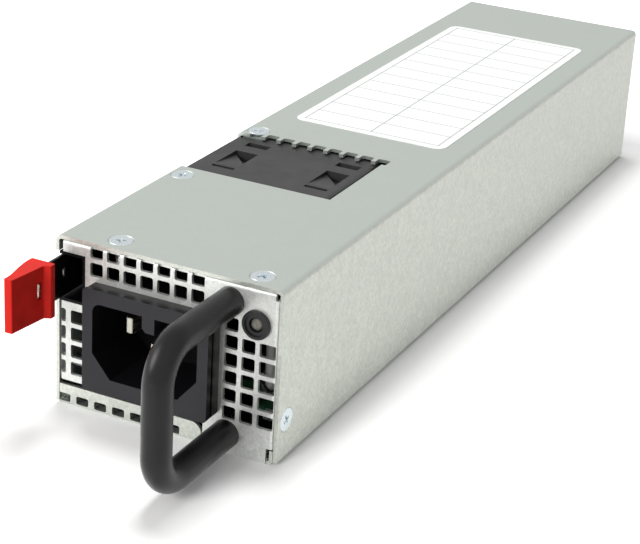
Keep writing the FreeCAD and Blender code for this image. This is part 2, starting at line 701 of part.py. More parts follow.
def front_panel():
    body = new_body("front_panel")
    lip_edge = d.lip_right + 3 * d.fit
    left_bottom = d.lip_height + d.lip_gap
    flat = nest_half - d.panel_bend
    extrude(body, "face_and_top", "X", -flat, flat, panel_section(0))
    extrude(body, "right_flange", "Z", 0, under_top - d.corner_notch, side_flange(1))
    extrude(body, "left_flange", "Z", left_bottom, d.latch_low, side_flange(-1))
    through = back(d.sheet) + d.fit
    past = back(d.flange_depth) + 1
    cut(body, "lip_clearance", "Y", front - d.fit, past, box(-half, lip_edge, -1, left_bottom))
    cut(body, "latch_opening", "Y", front - d.fit, through,
        box(-half, d.latch_right + d.fit, d.latch_low - d.fit, d.latch_high + d.fit))
    cut(body, "foot_notch", "Y", front - d.fit, past, box(foot_left - 3 * d.fit, half, -1, d.foot_notch))
    cut(body, "flange_foot", "Y", back(d.bend), past, box(0, half, -1, d.foot_notch + d.sheet))
    reach = d.vent_size / 2
    vent_block(body, "upper_vents", d.vent_left, d.vent_low + 6 * d.vent_pitch, 7, 2)
    vent_block(body, "middle_vents", d.vent_left + 8 * d.vent_pitch, d.vent_low, 1, 6)
    vent_block(body, "right_vents", d.vent_left + 9 * d.vent_pitch, d.vent_low, 1, 5)
    edge_vents(body, "right_edge_vents", 1, d.vent_left + 10 * d.vent_pitch - reach, d.sheet + d.fit, 5)
    vent_block(body, "left_vents", d.side_vent, d.vent_low, 1, 4)
    edge_vents(body, "left_edge_vents", -1, d.side_vent - d.side_vent_pitch + reach, d.vent_depth, 4)
    across = d.inlet_width / 2 - d.inlet_step + d.fit
    up = d.inlet_height / 2 - d.inlet_step + d.fit
    cut(body, "inlet_opening", "Y", front - d.fit, through,
        box(d.inlet_x - across, d.inlet_x + across, d.inlet_z - up, d.inlet_z + up))
    cut(body, "lamp_hole", "Y", front - d.fit, through, (d.lamp_x, d.lamp_z, d.bezel_body + d.fit))
    cut(body, "handle_holes", "Y", front - d.fit, through,
        *[(d.handle_x, z, d.stud + d.screw_play) for z in handle_heights()])
    nested_countersink(body, "top_screw_hole", "Z", under_top, -1, top_screws()[:2])
    nested_countersink(body, "right_screw_hole", "X", nest_half, -1, [side_screw])
    nested_countersink(body, "left_screw_hole", "X", -nest_half, 1, [side_screw])
    return body


def handle_heights():
    return [d.handle_low, d.handle_low + d.handle_span]


def rear_panel():
    body = new_body("rear_panel")
    inner = nest_half - d.sheet
    start = rear - d.flange_depth
    section = [(-nest_half, start), (-inner, start), (-inner, rear - d.sheet, inner_bend),
               (inner, rear - d.sheet, inner_bend), (inner, start), (nest_half, start),
               (nest_half, rear, d.bend), (-nest_half, rear, d.bend)]
    extrude(body, "wall", "Z", d.pan_corner + d.fit, under_top - inner_bend, section)
    flat = nest_half - 2 * d.bend
    extrude(body, "upright", "Y", rear - d.sheet, rear, box(-flat, flat, floor, under_top))
    reach = d.vent_size / 2
    first = -5 * d.rear_pitch
    hole = cut(body, "rear_vents", "Y", rear - 2 * d.sheet, rear + d.fit,
               box(first - reach, first + reach, d.rear_vent_low - reach, d.rear_vent_low + reach))
    repeat(body, hole, ("H", d.rear_pitch, 11), ("V", d.rear_pitch, 6))
    across = d.edge_width / 2 + d.edge_play
    cut(body, "card_opening", "Y", rear - 2 * d.sheet, rear + d.fit,
        box(-across, across, board_low - d.edge_play, board_top + d.edge_play))
    return body


def screws(label, axis, face, inward, places):
    # countersunk machine screws: a cone and the thread below it
    body = new_body(label)
    cone = d.screw_head - d.screw_shank
    neck = face + inward * cone
    extrude(body, "head", axis, face, neck, *[(x, y, d.screw_head) for x, y in places], taper=-45)
    extrude(body, "thread", axis, neck, neck + inward * d.screw_length,
            *[(x, y, d.screw_shank) for x, y in places])
    return body


def handle():
    body = new_body("handle")
    low, high = handle_heights()
    reach = front - d.handle_reach
    route = [(front, high), (reach, high, d.handle_bend), (reach, low, d.handle_bend), (front, low)]
    pipe(body, "rod", d.handle_x, route, d.rod)
    cut(body, "thread_holes", "Y", front + d.fit, front - d.stud_depth,
        *[(d.handle_x, z, d.stud + d.screw_play / 2) for z in (low, high)])
    return body


def handle_screws():
    body = new_body("handle_screws")
    heights = handle_heights()
    inside = back(d.sheet)
    extrude(body, "heads", "Y", inside, inside + d.stud_head_depth,
            *[(d.handle_x, z, d.stud_head) for z in heights])
    extrude(body, "studs", "Y", inside, front - d.stud_depth + 1, *[(d.handle_x, z, d.stud) for z in heights])
    return body


def inlet_cavity():
    # trapezoid-cornered plug cavity, with its corner cuts below
    left = d.inlet_x - d.cavity_width / 2
    right = d.inlet_x + d.cavity_width / 2
    low = d.cavity_low
    high = low + d.cavity_height
    return [(left + d.cavity_cut_x, low), (right - d.cavity_cut_x, low), (right, low + d.cavity_cut_z),
            (right, high, d.cavity_corner), (left, high, d.cavity_corner), (left, low + d.cavity_cut_z)]


def inlet_pins():
    # (x, z, tip) of line, neutral and earth
    return {"inlet_line_pin": (d.inlet_x - d.pin_spacing / 2, d.pin_z, back(d.pin_tip)),
            "inlet_neutral_pin": (d.inlet_x + d.pin_spacing / 2, d.pin_z, back(d.pin_tip)),
            "inlet_earth_pin": (d.inlet_x, d.pin_z - d.earth_drop, back(d.pin_tip - d.earth_lead))}


def pin_outline(x, z):
    return box(x - d.pin_wide / 2, x + d.pin_wide / 2, z - d.pin_tall / 2, z + d.pin_tall / 2)


def inlet_housing():
    body = new_body("inlet_housing")
    across = d.inlet_width / 2
    up = d.inlet_height / 2
    face = front - d.inlet_proud
    left = d.inlet_x - across
    right = d.inlet_x + across
    ledge = d.inlet_z + up
    extrude(body, "bezel", "Y", face, front, box(left, right, d.inlet_z - up, ledge, d.inlet_corner))
    cut(body, "lower_ledge", "Z", ledge + d.fit, ledge - d.ledge_drop,
        box(left - d.fit, right + d.fit, face + d.ledge_rim, front + d.fit))
    step = d.inlet_step
    extrude(body, "body", "Y", front - 1, back(d.inlet_depth),
            box(left + step, right - step, d.inlet_z - up + step, ledge - step, d.inlet_corner))
    cut(body, "plug_cavity", "Y", face - d.fit, face + d.cavity_depth, inlet_cavity())
    ceiling = d.cavity_low + d.cavity_height
    below = ceiling - d.key_height
    key_left = d.inlet_x - d.key_left
    key_right = d.inlet_x + d.key_right
    extrude(body, "keying_ridge", "Y", face, face + d.cavity_depth + d.fit,
            [(key_left, ceiling + d.fit), (key_left, below + d.key_slant), (key_left + d.key_slant, below),
             (key_right, below), (key_right, ceiling + d.fit)])
    groove = d.inlet_groove
    for name, side in (("right_groove", 1), ("left_groove", -1)):
        edge = d.inlet_x + side * d.inlet_width / 2
        cut(body, name, "Z", 0, top, box_between(edge - side * groove, edge + side * groove,
                                                 face + d.inlet_flange, face + d.inlet_flange + groove))
    for name, (x, z, _) in inlet_pins().items():
        cut(body, name + "_slot", "Y", face, back(d.inlet_depth) + d.fit, pin_outline(x, z))
    return body


def inlet_pin(label):
    x, z, tip = inlet_pins()[label]
    body = new_body(label)
    blade = d.pin_wide / 2
    narrow = blade * 0.8
    low = z - d.pin_tall / 2
    high = z + d.pin_tall / 2
    tail = back(d.pin_tail)
    extrude(body, "blade", "X", x - blade, x + blade,
            [(tip, low, d.pin_round), (tail, low), (tail, high), (tip, high, d.pin_round)])
    for name, side in (("right_bevel", 1), ("left_bevel", -1)):
        beyond = x + side * (blade + 1)
        cut(body, name, "Z", high + 1, low - 1,
            [(x + side * narrow, tip), (x + side * blade, tip + 1), (beyond, tip + 1), (beyond, tip - 1),
             (x + side * narrow, tip - 1)])
    return body


def led_bezel():
    body = new_body("led_bezel")
    bore = d.lamp_radius + d.fit
    face = front - d.bezel_proud
    revolve(body, "ring", "Y", (d.lamp_x, d.lamp_z),
            [(bore + d.bezel_step, face), (d.bezel_radius, face, 0.3), (d.bezel_radius, front),
             (d.bezel_body, front), (d.bezel_body, back(d.bezel_depth)), (bore, back(d.bezel_depth)),
             (bore, face + d.bezel_recess), (bore + d.bezel_step, face + d.bezel_recess)])
    return body


def led_lamp():
    body = new_body("led_lamp")
    dome = front - d.lamp_proud
    revolve(body, "lens", "Y", (d.lamp_x, d.lamp_z),
            [(0, dome), (d.lamp_radius, dome, d.lamp_radius * 0.9), (d.lamp_radius, back(d.bezel_depth) + 1),
             (0, back(d.bezel_depth) + 1)])
    return body


arm_inner = d.arm_x + d.arm_sheet
pivot_x = d.arm_x + d.knuckle
pivot_y = back(d.pivot_back)
arm_low = d.latch_low + d.pocket_wall + d.arm_gap
arm_high = d.latch_high - d.pocket_wall - d.arm_gap


def latch_housing():
    body = new_body("latch_housing")
    left = -nest_half
    right = d.latch_right
    end = back(d.pocket_depth)
    wall = d.pocket_wall
    extrude(body, "liner", "Y", front, end, box(left, right, d.latch_low, d.latch_high))
    cut(body, "pocket", "Y", front - d.fit, end - wall,
        box(left - 1, right - wall, d.latch_low + wall, d.latch_high - wall))
    cut(body, "pin_holes", "Z", d.latch_high + 1, d.latch_low - 1, (pivot_x, pivot_y, d.pivot_pin))
    return body


def latch_pin():
    body = new_body("latch_pin")
    extrude(body, "pin", "Z", d.latch_low, d.latch_high, (pivot_x, pivot_y, d.pivot_pin))
    return body


def latch_arm():
    body = new_body("latch_arm")
    ahead = front - d.arm_front
    extrude(body, "plate", "Z", arm_low, arm_high, box(d.arm_x, arm_inner, ahead, pivot_y))
    extrude(body, "knuckle", "Z", arm_low, arm_high, (pivot_x, pivot_y, d.knuckle))
    cut(body, "pin_bore", "Z", arm_high + 1, arm_low - 1, (pivot_x, pivot_y, d.pivot_pin + d.pivot_play))
    middle = (arm_low + arm_high) / 2
    low = middle - d.barb_half
    high = middle + d.barb_half
    tip = back(d.barb_front)
    root = back(d.barb_rear)
    inside = d.arm_x + d.arm_sheet / 2
    extrude(body, "catch", "Z", low, high,
            [(d.arm_x - d.barb_out, tip), (inside, tip), (inside, root), (d.arm_x, root)])
    slot_end = front - d.arm_slot_near + d.arm_slot_long
    cut(body, "punched_slot", "X", d.arm_x - 1, arm_inner + 1,
        box(front - d.arm_slot_near, slot_end, d.arm_slot_low, d.arm_slot_low + d.arm_slot_tall))
    return body


def release_tab():
    body = new_body("release_tab")
    end = front - d.tab_end
    start = front - d.tab_start
    outer = d.arm_x - 0.5
    plan = [(outer, end, 0.4), (arm_inner + 0.7, end, 0.4), (arm_inner + 1.7, start - 2.4, 0.6),
            (arm_inner + 3.1, start - 1.4, 0.3), (arm_inner + 3.1, start),
            (d.arm_x - 1.9, start, 0.4), (d.arm_x - 2.4, start - 3.6, 2.5), (outer, start - 9.8, 2.5)]
    extrude(body, "grip", "Z", d.tab_low, d.tab_high, plan)
    cut(body, "arm_slot", "Z", arm_high, arm_low, box(d.arm_x, arm_inner, front - d.arm_front, start + d.fit))
    cut(body, "sight_slot", "X", half, arm_inner,
        box(start - 4.6, start - 2.6, d.tab_low + 4.5, d.tab_low + 8.1))
    return body


def latch_spring():
    # leaf spring on the pocket's inner wall, bowed towards the arm
    body = new_body("latch_spring")
    wall = d.latch_right - d.pocket_wall
    leaf = d.spring_sheet
    bow = d.spring_bow
    end = pivot_y - 3
    extrude(body, "leaf", "Z", arm_low + 2, arm_high - 2,
            [(wall, end), (wall - leaf, end), (wall - leaf, end - 5, 1), (wall - bow, end - 13, 1),
             (wall - bow, end - 15), (wall - bow + leaf, end - 15), (wall - bow + leaf, end - 13, 1),
             (wall, end - 5, 1)])
    return body


def fan_frame():
    body = new_body("fan_frame")
    start = back(d.fan_front)
    end = start + d.fan_depth
    reach = d.fan_size / 2
    extrude(body, "block", "Y", start, end,
            box(fan_x - reach, fan_x + reach, fan_z - reach, fan_z + reach, d.fan_corner))
    cut(body, "bore", "Y", start - 1, end + 1, (fan_x, fan_z, d.fan_bore))
    spread = d.fan_hole_spacing / 2
    cut(body, "corner_holes", "Y", start - 1, end + 1,
        *[(fan_x + a * spread, fan_z + b * spread, d.fan_hole) for a in (-1, 1) for b in (-1, 1)])
    seat = end - d.fan_strut
    extrude(body, "motor_seat", "Y", seat, end, (fan_x, fan_z, d.fan_seat))
    bar = d.fan_strut / 2
    edge = d.fan_bore + d.fit
    extrude(body, "upright_struts", "Y", seat, end, box(fan_x - bar, fan_x + bar, fan_z - edge, fan_z + edge))
    extrude(body, "level_struts", "Y", seat, end, box(fan_x - edge, fan_x + edge, fan_z - bar, fan_z + bar))
    extrude(body, "bearing_tube", "Y", seat, seat - d.tube_length,
            (fan_x, fan_z, d.bearing_ring + d.tube_wall))
    cut(body, "tube_bore", "Y", seat - d.tube_length - 1, seat, (fan_x, fan_z, d.bearing_ring))
    upper = fan_z + reach
    lower = upper - d.edge_step_deep
    edge = fan_x + reach
    cut(body, "right_step", "Y", start - 1, end + 1,
        box(edge - d.edge_step, edge + d.fit, lower, upper + d.fit))
    outer = -half + d.fit
    lip_end = end - 3 * d.fit
    extrude(body, "side_lip", "Y", start, lip_end,
            box(outer, fan_left + d.fan_corner, top - d.window_drop + 3 * d.fit, upper))
    cut(body, "side_rim", "Y", start - 1, lip_end + 1,
        box(outer - d.fit, outer + d.side_rim, upper - d.side_rim_drop, upper + d.fit))
    extrude(body, "rear_lip", "Y", end - d.fan_strut, end + d.fan_lip,
            box(fan_left + d.fan_lip_inset, fan_x + reach - d.edge_step - d.fit, lower, upper))
    side_recesses(body, start, upper)
    return body


def side_recesses(body, start, face):
    # slots, ramps and three-cornered pockets in the frame's upper side, one set near each edge
    above = face + d.fit
    below = face - d.recess_depth
    for name, x in (("left", fan_x + d.recess_left), ("right", fan_x + d.recess_right)):
        x0 = x - d.recess_width / 2
        x1 = x + d.recess_width / 2
        cut(body, name + "_front_slot", "Z", above, below, box(x0, x1, start + 6.4, start + 7.6))
        cut(body, name + "_rear_slot", "Z", above, below, box(x0, x1, start + 22.9, start + 25.5))
        near = start + 8.6
        far = start + 18.9
        cut(body, name + "_ramp", "X", x0, x1, [(near, above), (near, face), (far, below), (far, above)])
        cut(body, name + "_pocket", "Z", above, face - d.pocket_deep, [(x0, far), (x1, near + 3), (x1, far)])


def ring(body, name, y0, y1, inner, outer):
    # a ring about the fan's axis
    revolve(body, name, "Y", (fan_x, fan_z), [(inner, y0), (outer, y0), (outer, y1), (inner, y1)])


fan_start = back(d.fan_front)
seat_face = fan_start + d.fan_depth - d.fan_strut
tube_front = seat_face - d.tube_length


def fan_bearings():
    body = new_body("fan_bearings")
    bore = d.fan_shaft + d.fan_play
    for name, y in (("front_bearing", tube_front), ("rear_bearing", seat_face - d.bearing_width)):
        ring(body, name, y, y + d.bearing_width, bore, d.bearing_ring)
    return body


def fan_stator():
    body = new_body("fan_stator")
    inner = d.bearing_ring + d.tube_wall
    ring(body, "stack", tube_front + 3, seat_face - 2, inner, d.stator)
    return body


def fan_rotor():
    body = new_body("fan_rotor")
    hub_front = fan_start + d.hub_setback
    hub_end = seat_face - 1
    wall = d.fan_hub - d.hub_wall
    hub = revolve(body, "hub", "Y", (fan_x, fan_z),
            [(d.fan_shaft, hub_front), (d.fan_hub, hub_front, 1), (d.fan_hub, hub_end), (wall, hub_end),
             (wall, hub_front + 1.5), (d.bearing_ring, hub_front + 1.5), (d.bearing_ring, tube_front - 0.5),
             (d.fan_shaft, tube_front - 0.5)])
    root = blade_section(body, "root", d.fan_hub - 0.6, hub_front + 2, 6.0, 17.0)
    tip = blade_section(body, "tip", d.fan_blade, hub_front + 2.5, 8.5, 15.0)
    blade = body.newObject("PartDesign::AdditiveLoft", "blade")
    blade.Profile = root
    blade.Sections = [tip]
    blades = body.newObject("PartDesign::PolarPattern", "blades")
    blades.Originals = [blade]
    blades.Axis = (hub.Profile[0], ["V_Axis"])
    blades.Angle = 360
    bind(blades, "Occurrences", d.blade_count)
    body.Tip = blades
    return body


def blade_section(body, name, radius, y, rise, run):
    # a thin slanted blade section, square to a radius
    sketch = sketch_on(body, name + "_section", "X", fan_x + radius)
    low = fan_z - rise / 2
    high = fan_z + rise / 2
    outline(sketch, [(y, low), (y + d.blade_sheet, low), (y + run, high), (y + run - d.blade_sheet, high)])
    return sketch


def fan_shaft():
    body = new_body("fan_shaft")
    extrude(body, "shaft", "Y", fan_start + d.hub_setback, seat_face - d.fit, (fan_x, fan_z, d.fan_shaft))
    return body


def main_board():
    body = new_body("main_board")
    side = half - d.board_margin
    gap = d.board_fan_gap
    fan_end = d.fan_front + d.fan_depth
    beside_fan = fan_x + d.fan_size / 2 + gap
    shoulder = rear - d.board_rear_gap
    edge = d.edge_width / 2
    arm = half - d.board_arm
    plan = [(arm, back(d.board_front)), (side, back(d.board_front)), (side, shoulder),
            (edge, shoulder), (edge, rear + d.edge_reach), (-edge, rear + d.edge_reach), (-edge, shoulder),
            (-side, shoulder), (-side, back(fan_end + gap)), (beside_fan, back(fan_end + gap)),
            (beside_fan, back(d.fan_front - gap)), (-side, back(d.fan_front - gap)),
            (-side, back(d.board_step)), (arm, back(d.board_step))]
    extrude(body, "laminate", "Z", board_low, board_top, plan)
    cut(body, "screw_holes", "Z", board_top + 1, board_low - 1,
        *[(x, y, d.stud + d.screw_play) for x, y in standoff_places()])
    return body


def standoff_places():
    side = half - d.standoff_inset
    return [(side, back(20)), (-side, back(46)), (side, back(84)), (-side, back(84)),
            (side, back(157)), (side, rear - 8), (-side, rear - 8)]


def board_standoffs():
    body = new_body("board_standoffs")
    extrude(body, "posts", "Z", floor, board_low, *[(x, y, d.standoff_radius) for x, y in standoff_places()])
    cut(body, "threads", "Z", board_low + 1, floor,
        *[(x, y, d.stud + d.screw_play / 2) for x, y in standoff_places()])
    return body


def board_screws():
    body = new_body("board_screws")
    places = standoff_places()
    extrude(body, "heads", "Z", board_top, board_top + 1.6, *[(x, y, d.standoff_radius) for x, y in places])
    extrude(body, "threads", "Z", board_top, floor + 1, *[(x, y, d.stud) for x, y in places])
    return body


def insulator_sheet():
    # one film on the pan's floor, cut out round the fan
    body = new_body("insulator_sheet")
    side = half - d.board_margin - 1
    near = back(d.film_front)
    far = rear - 3
    before_fan = fan_start - 1
    past_fan = fan_start + d.fan_depth + 1
    beside_fan = fan_x + d.fan_size / 2 + 1
    extrude(body, "film", "Z", floor, floor + d.film_sheet,
            [(-side, near), (side, near), (side, far), (-side, far), (-side, past_fan),
             (beside_fan, past_fan), (beside_fan, before_fan), (-side, before_fan)])
    cut(body, "standoff_holes", "Z", floor + 1, floor - d.fit,
        *[(x, y, d.standoff_radius + 2 * d.fit) for x, y in standoff_places()])
    return body


def board_contacts():
    body = new_body("board_contacts")
    first = -(d.contact_count - 1) / 2 * d.contact_pitch
    reach = d.contact_width / 2
    end = rear + d.edge_reach - 1
    pad = box(first - reach, first + reach, rear + 1, end)
    for name, start, finish in (("upper_contact", board_top, board_top + d.contact_sheet),
                                ("lower_contact", board_low, board_low - d.contact_sheet)):
        contact = extrude(body, name, "Z", start, finish, pad)
        repeat(body, contact, ("H", d.contact_pitch, d.contact_count))
    return body


def block(label):
    # an upright part standing on the board
    words = ("left", "right", "near", "far", "tall")
    left, right, near, far, tall = [getattr(d, f"{label}_{word}") for word in words]
    body = new_body(label)
    extrude(body, "case", "Z", board_top, board_top + tall, box(left, right, back(near), back(far), 0.4))
    return body


def rating_label():
    body = new_body("rating_label")
    extrude(body, "film", "Z", top, top + d.label_sheet,
            box(d.label_left, d.label_right, back(d.label_front), back(d.label_rear), 2.5))
    return body


def toroid(label, x, y, inner, outer, tall):
    # a ring-wound inductor lying flat on the board
    body = new_body(label)
    revolve(body, "ring", "Z", (x, back(y)),
            box(inner, outer, board_top, board_top + tall, (outer - inner) / 3))
    return body


choke_x = half - d.choke_inset
fuse_x = half - d.fuse_inset
sink_face = half - d.sink_left


def choke_section(grow):
    return box(d.choke_bore - grow, d.choke_radius + grow,
               choke_x - d.choke_width / 2 - grow, choke_x + d.choke_width / 2 + grow)


choke_axis = board_top + d.choke_radius + d.winding_wall


def input_choke_core():
    body = new_body("input_choke_core")
    revolve(body, "core", "X", (back(d.choke_y), choke_axis), choke_section(0))
    return body


def input_choke_windings():
    # two windings round the core, each over a third of it
    body = new_body("input_choke_windings")
    for name, turn in (("front_winding", -60), ("rear_winding", 120)):
        winding = revolve(body, name, "X", (back(d.choke_y), choke_axis),
                          choke_section(d.winding_wall), choke_section(0))
        winding.Profile[0].AttachmentOffset.Rotation = FreeCAD.Rotation(Vector(1, 0, 0), turn)
        winding.Angle = 120
    return body


def fuse():
    body = new_body("fuse")
    near = back(d.fuse_near)
    far = near + d.fuse_length
    cap = 5
    middle = (fuse_x, board_top + d.fuse_lift)
    revolve(body, "tube", "Y", middle,
            [(0, near), (d.fuse_radius, near), (d.fuse_radius, near + cap), (d.fuse_radius - 0.3, near + cap),
             (d.fuse_radius - 0.3, far - cap), (d.fuse_radius, far - cap), (d.fuse_radius, far), (0, far)])
    return body


def fuse_clips():
    body = new_body("fuse_clips")
    reach = d.fuse_radius + 0.5
    middle = board_top + d.fuse_lift
    for name, y in (("front_clip", d.fuse_near + 1), ("rear_clip", d.fuse_near + d.fuse_length - 4)):
        extrude(body, name, "Y", back(y), back(y + 3),
                box(fuse_x - reach, fuse_x + reach, board_top, middle + 1))
    cut(body, "cradle", "Y", back(d.fuse_near), back(d.fuse_near) + d.fuse_length,
        (fuse_x, middle, d.fuse_radius))
    return body


def varistor():
    body = new_body("varistor")
    revolve(body, "disc", "Y", (-15, board_top + 6.5),
            [(0, back(42)), (5, back(42), 1.2), (5, back(45.6), 1.2), (0, back(45.6))])
    extrude(body, "leads", "Z", board_top, board_top + 3, box(-18, -17.2, back(43.4), back(44.2)),
            box(-12.8, -12, back(43.4), back(44.2)))
    return body


def bulk_capacitor():
    body = new_body("bulk_capacitor")
    near = back(d.bulk_near)
    far = near + d.bulk_length
    r = d.bulk_radius
    revolve(body, "can", "Y", (d.bulk_x, board_top + r),
            [(0, near), (r, near, 1), (r, near + 3), (r - 0.8, near + 4), (r, near + 5), (r, far, 1.2),
             (0, far)])
    return body


def output_capacitors():
    body = new_body("output_capacitors")
    r = d.can_radius
    high = board_top + d.can_tall
    can = revolve(body, "can", "Z", (d.can_first, back(d.can_back)),
                  [(0, board_top), (r, board_top), (r, board_top + 1.4), (r - 0.5, board_top + 2),
                   (r, board_top + 2.6), (r, high, 0.6), (0, high)])
    repeat(body, can, ("H", d.can_pitch, d.can_count))
    return body


def heat_sink(label, near, far):
    # an extruded comb: a web with level fins
    body = new_body(label)
    web = sink_face + d.sink_web
    extrude(body, "web", "Y", back(near), back(far), box(sink_face, web, board_top, board_top + d.sink_tall))
    fin = extrude(body, "fin", "Y", back(near), back(far),
                  box(web - 1, half - d.sink_right, board_top + 4, board_top + 4 + d.sink_fin))
    repeat(body, fin, ("V", d.sink_pitch, 5))
    return body


def power_devices(label, places):
    # moulded power transistors or rectifiers against a heat sink, with their legs
    body = new_body(label)
    right = sink_face
    left = right - d.device_sheet
    low = board_top + 4
    high = low + d.device_tall
    for number, place in enumerate(places):
        near = back(place)
        far = near + d.device_width
        extrude(body, f"case_{number}", "X", left, right, box(near, far, low, high, 0.5))
        middle = (near + far) / 2
        for leg in (-2.54, 0, 2.54):
            extrude(body, f"leg_{number}", "Z", board_top, low + 1,
                    box(right - 2.6, right - 2.0, middle + leg - 0.4, middle + leg + 0.4))
    return body


def transformer_core(label, x, y, width, length, tall):
    # two E cores face to face: end legs, plates and a round middle leg
    body = new_body(label)
    x0 = x - width / 2
    x1 = x + width / 2
    near = back(y) - length / 2
    far = back(y) + length / 2
    leg = length / 7
    plate = tall / 6
    extrude(body, "block", "Z", board_top, board_top + tall, box(x0, x1, near, far, 0.6))
    high = board_top + tall
    cut(body, "window", "X", x0 - 1, x1 + 1, box(near + leg, far - leg, board_top + plate, high - plate))
    extrude(body, "middle_leg", "Z", board_top + plate / 2, high - plate / 2, (x, back(y), width / 4))
    return body


def transformer_winding(label, x, y, width, length, tall):
    body = new_body(label)
    inner = width / 4
    outer = length / 2 - length / 7 - 0.3
    low = board_top + tall / 6 + 0.2
    high = board_top + tall - tall / 6 - 0.2
    revolve(body, "winding", "Z", (x, back(y)),
            [(inner, low), (outer, low), (outer, low + 1), (outer - 0.8, low + 1), (outer - 0.8, high - 1),
             (outer, high - 1), (outer, high), (inner, high)])
    return body


def control_chips():
    body = new_body("control_chips")
    face = d.control_card_right
    for name, y, z in (("first_chip", 184, 8), ("second_chip", 196, 12), ("third_chip", 204, 6)):
        low = board_top + z
        extrude(body, name, "X", face, face + 1.4, box(back(y), back(y + 6), low, low + 5))
    return body


def wires(label, routes, radius, bend):
    # each wire leaves along Y from (x, y, z), turns down after a run and stands on the board
    body = new_body(label)
    for number, (x, y, z, run) in enumerate(routes):
        pipe(body, f"wire_{number}", x, [(y, z), (y + run, z, bend), (y + run, board_top)], radius)
    return body


def mains_wires():
    pins = inlet_pins()
    ends = [pins[name] for name in ("inlet_line_pin", "inlet_neutral_pin")]
    return wires("mains_wires", [(x, back(d.pin_tail), z, 3) for x, z, _ in ends], d.mains_wire, d.wire_bend)


def earth_wire():
    x, z, _ = inlet_pins()["inlet_earth_pin"]
    return wires("earth_wire", [(x, back(d.pin_tail), z, 3)], d.mains_wire, d.wire_bend)


def fan_leads():
    y = fan_start + d.fan_depth
    return wires("fan_leads", [(x, y, 12, 2.6) for x in (4, 5, 6)], d.signal_wire, 1)


def lamp_leads():
    # the lamp's two wires in one sleeve: down behind the panel, back, and down onto the board
    body = new_body("lamp_leads")
    start = back(d.bezel_depth) + 1
    down = start + d.wire_bend
    bend = d.wire_bend - d.fit
    route = [(start, d.lamp_z), (down, d.lamp_z, bend), (down, d.cable_drop, bend),
             (back(d.cable_back), d.cable_drop, bend), (back(d.cable_back), board_top)]
    pipe(body, "sleeve", d.lamp_x, route, d.cable_radius)
    return body


def build_parts():
    parts = [top_cover(), bottom_pan(), front_panel(), rear_panel()]
    parts.append(screws("top_screws", "Z", top, -1, top_screws()))
    parts.append(screws("right_screw", "X", half, -1, [side_screw]))
    parts.append(screws("left_screw", "X", -half, 1, [side_screw]))
    parts += [handle(), handle_screws(), inlet_housing()]
    parts += [inlet_pin(name) for name in inlet_pins()]
    parts += [led_bezel(), led_lamp(), lamp_leads()]
    parts += [latch_housing(), latch_pin(), latch_arm(), release_tab(), latch_spring()]
    parts += [fan_frame(), fan_bearings(), fan_stator(), fan_rotor(), fan_shaft(), fan_leads()]
    parts += [main_board(), board_standoffs(), board_screws(), insulator_sheet(), board_contacts()]
    parts += [block(name) for name in BLOCKS]
    parts += [mains_wires(), earth_wire(), fuse(), fuse_clips(), varistor()]
    parts += [input_choke_core(), input_choke_windings()]
    parts.append(toroid("boost_inductor", d.inductor_x, d.inductor_y, d.inductor_bore, d.inductor_radius,
                        d.inductor_tall))
    parts.append(bulk_capacitor())
    parts.append(heat_sink("primary_heat_sink", 90, 150))
    parts.append(power_devices("primary_transistors", (94, 110, 126)))
    parts.append(heat_sink("secondary_heat_sink", 180, 210))
    parts.append(power_devices("output_rectifiers", (183, 197)))
    main = (d.core_x, d.core_y, d.core_width, d.core_long, d.core_tall)
    standby = (d.standby_x, d.standby_y, d.standby_width, d.standby_long, d.standby_tall)
    for name, sizes in (("main_transformer", main), ("standby_transformer", standby)):
        parts.append(transformer_core(name + "_core", *sizes))
        parts.append(transformer_winding(name + "_winding", *sizes))
    parts.append(toroid("output_inductor", d.output_x, d.output_y, d.output_bore, d.output_radius,
                        d.output_tall))
    parts += [output_capacitors(), control_chips(), rating_label()]
    return parts


def check(parts):
    faults = []
    for item in document.Objects:
        if "Invalid" in item.State or "Error" in item.State:
            faults.append(f"{item.Name}: {item.State}")
        if item.TypeId in ("PartDesign::Pocket", "PartDesign::Groove"):
            before = item.BaseFeature.Shape.Volume
            if item.Shape.Volume > before - 1e-6:
                faults.append(f"{item.Name} cuts nothing")
    for part in parts:
        if part.Shape.isNull() or not part.Shape.isValid():
            faults.append(f"{part.Label}: no valid shape")
    if faults:
        raise RuntimeError("; ".join(faults))


def write(parts):
    os.makedirs("parts", exist_ok=True)
    for part in parts:
        part.Shape.exportStep(f"parts/{part.Label}.step")
        print(part.Label, len(part.Shape.Solids), round(part.Shape.Volume, 1))


parts = build_parts()
document.recompute()
check(parts)
write(parts)
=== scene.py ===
import math

import bmesh
import bpy
from mathutils import Matrix, Vector


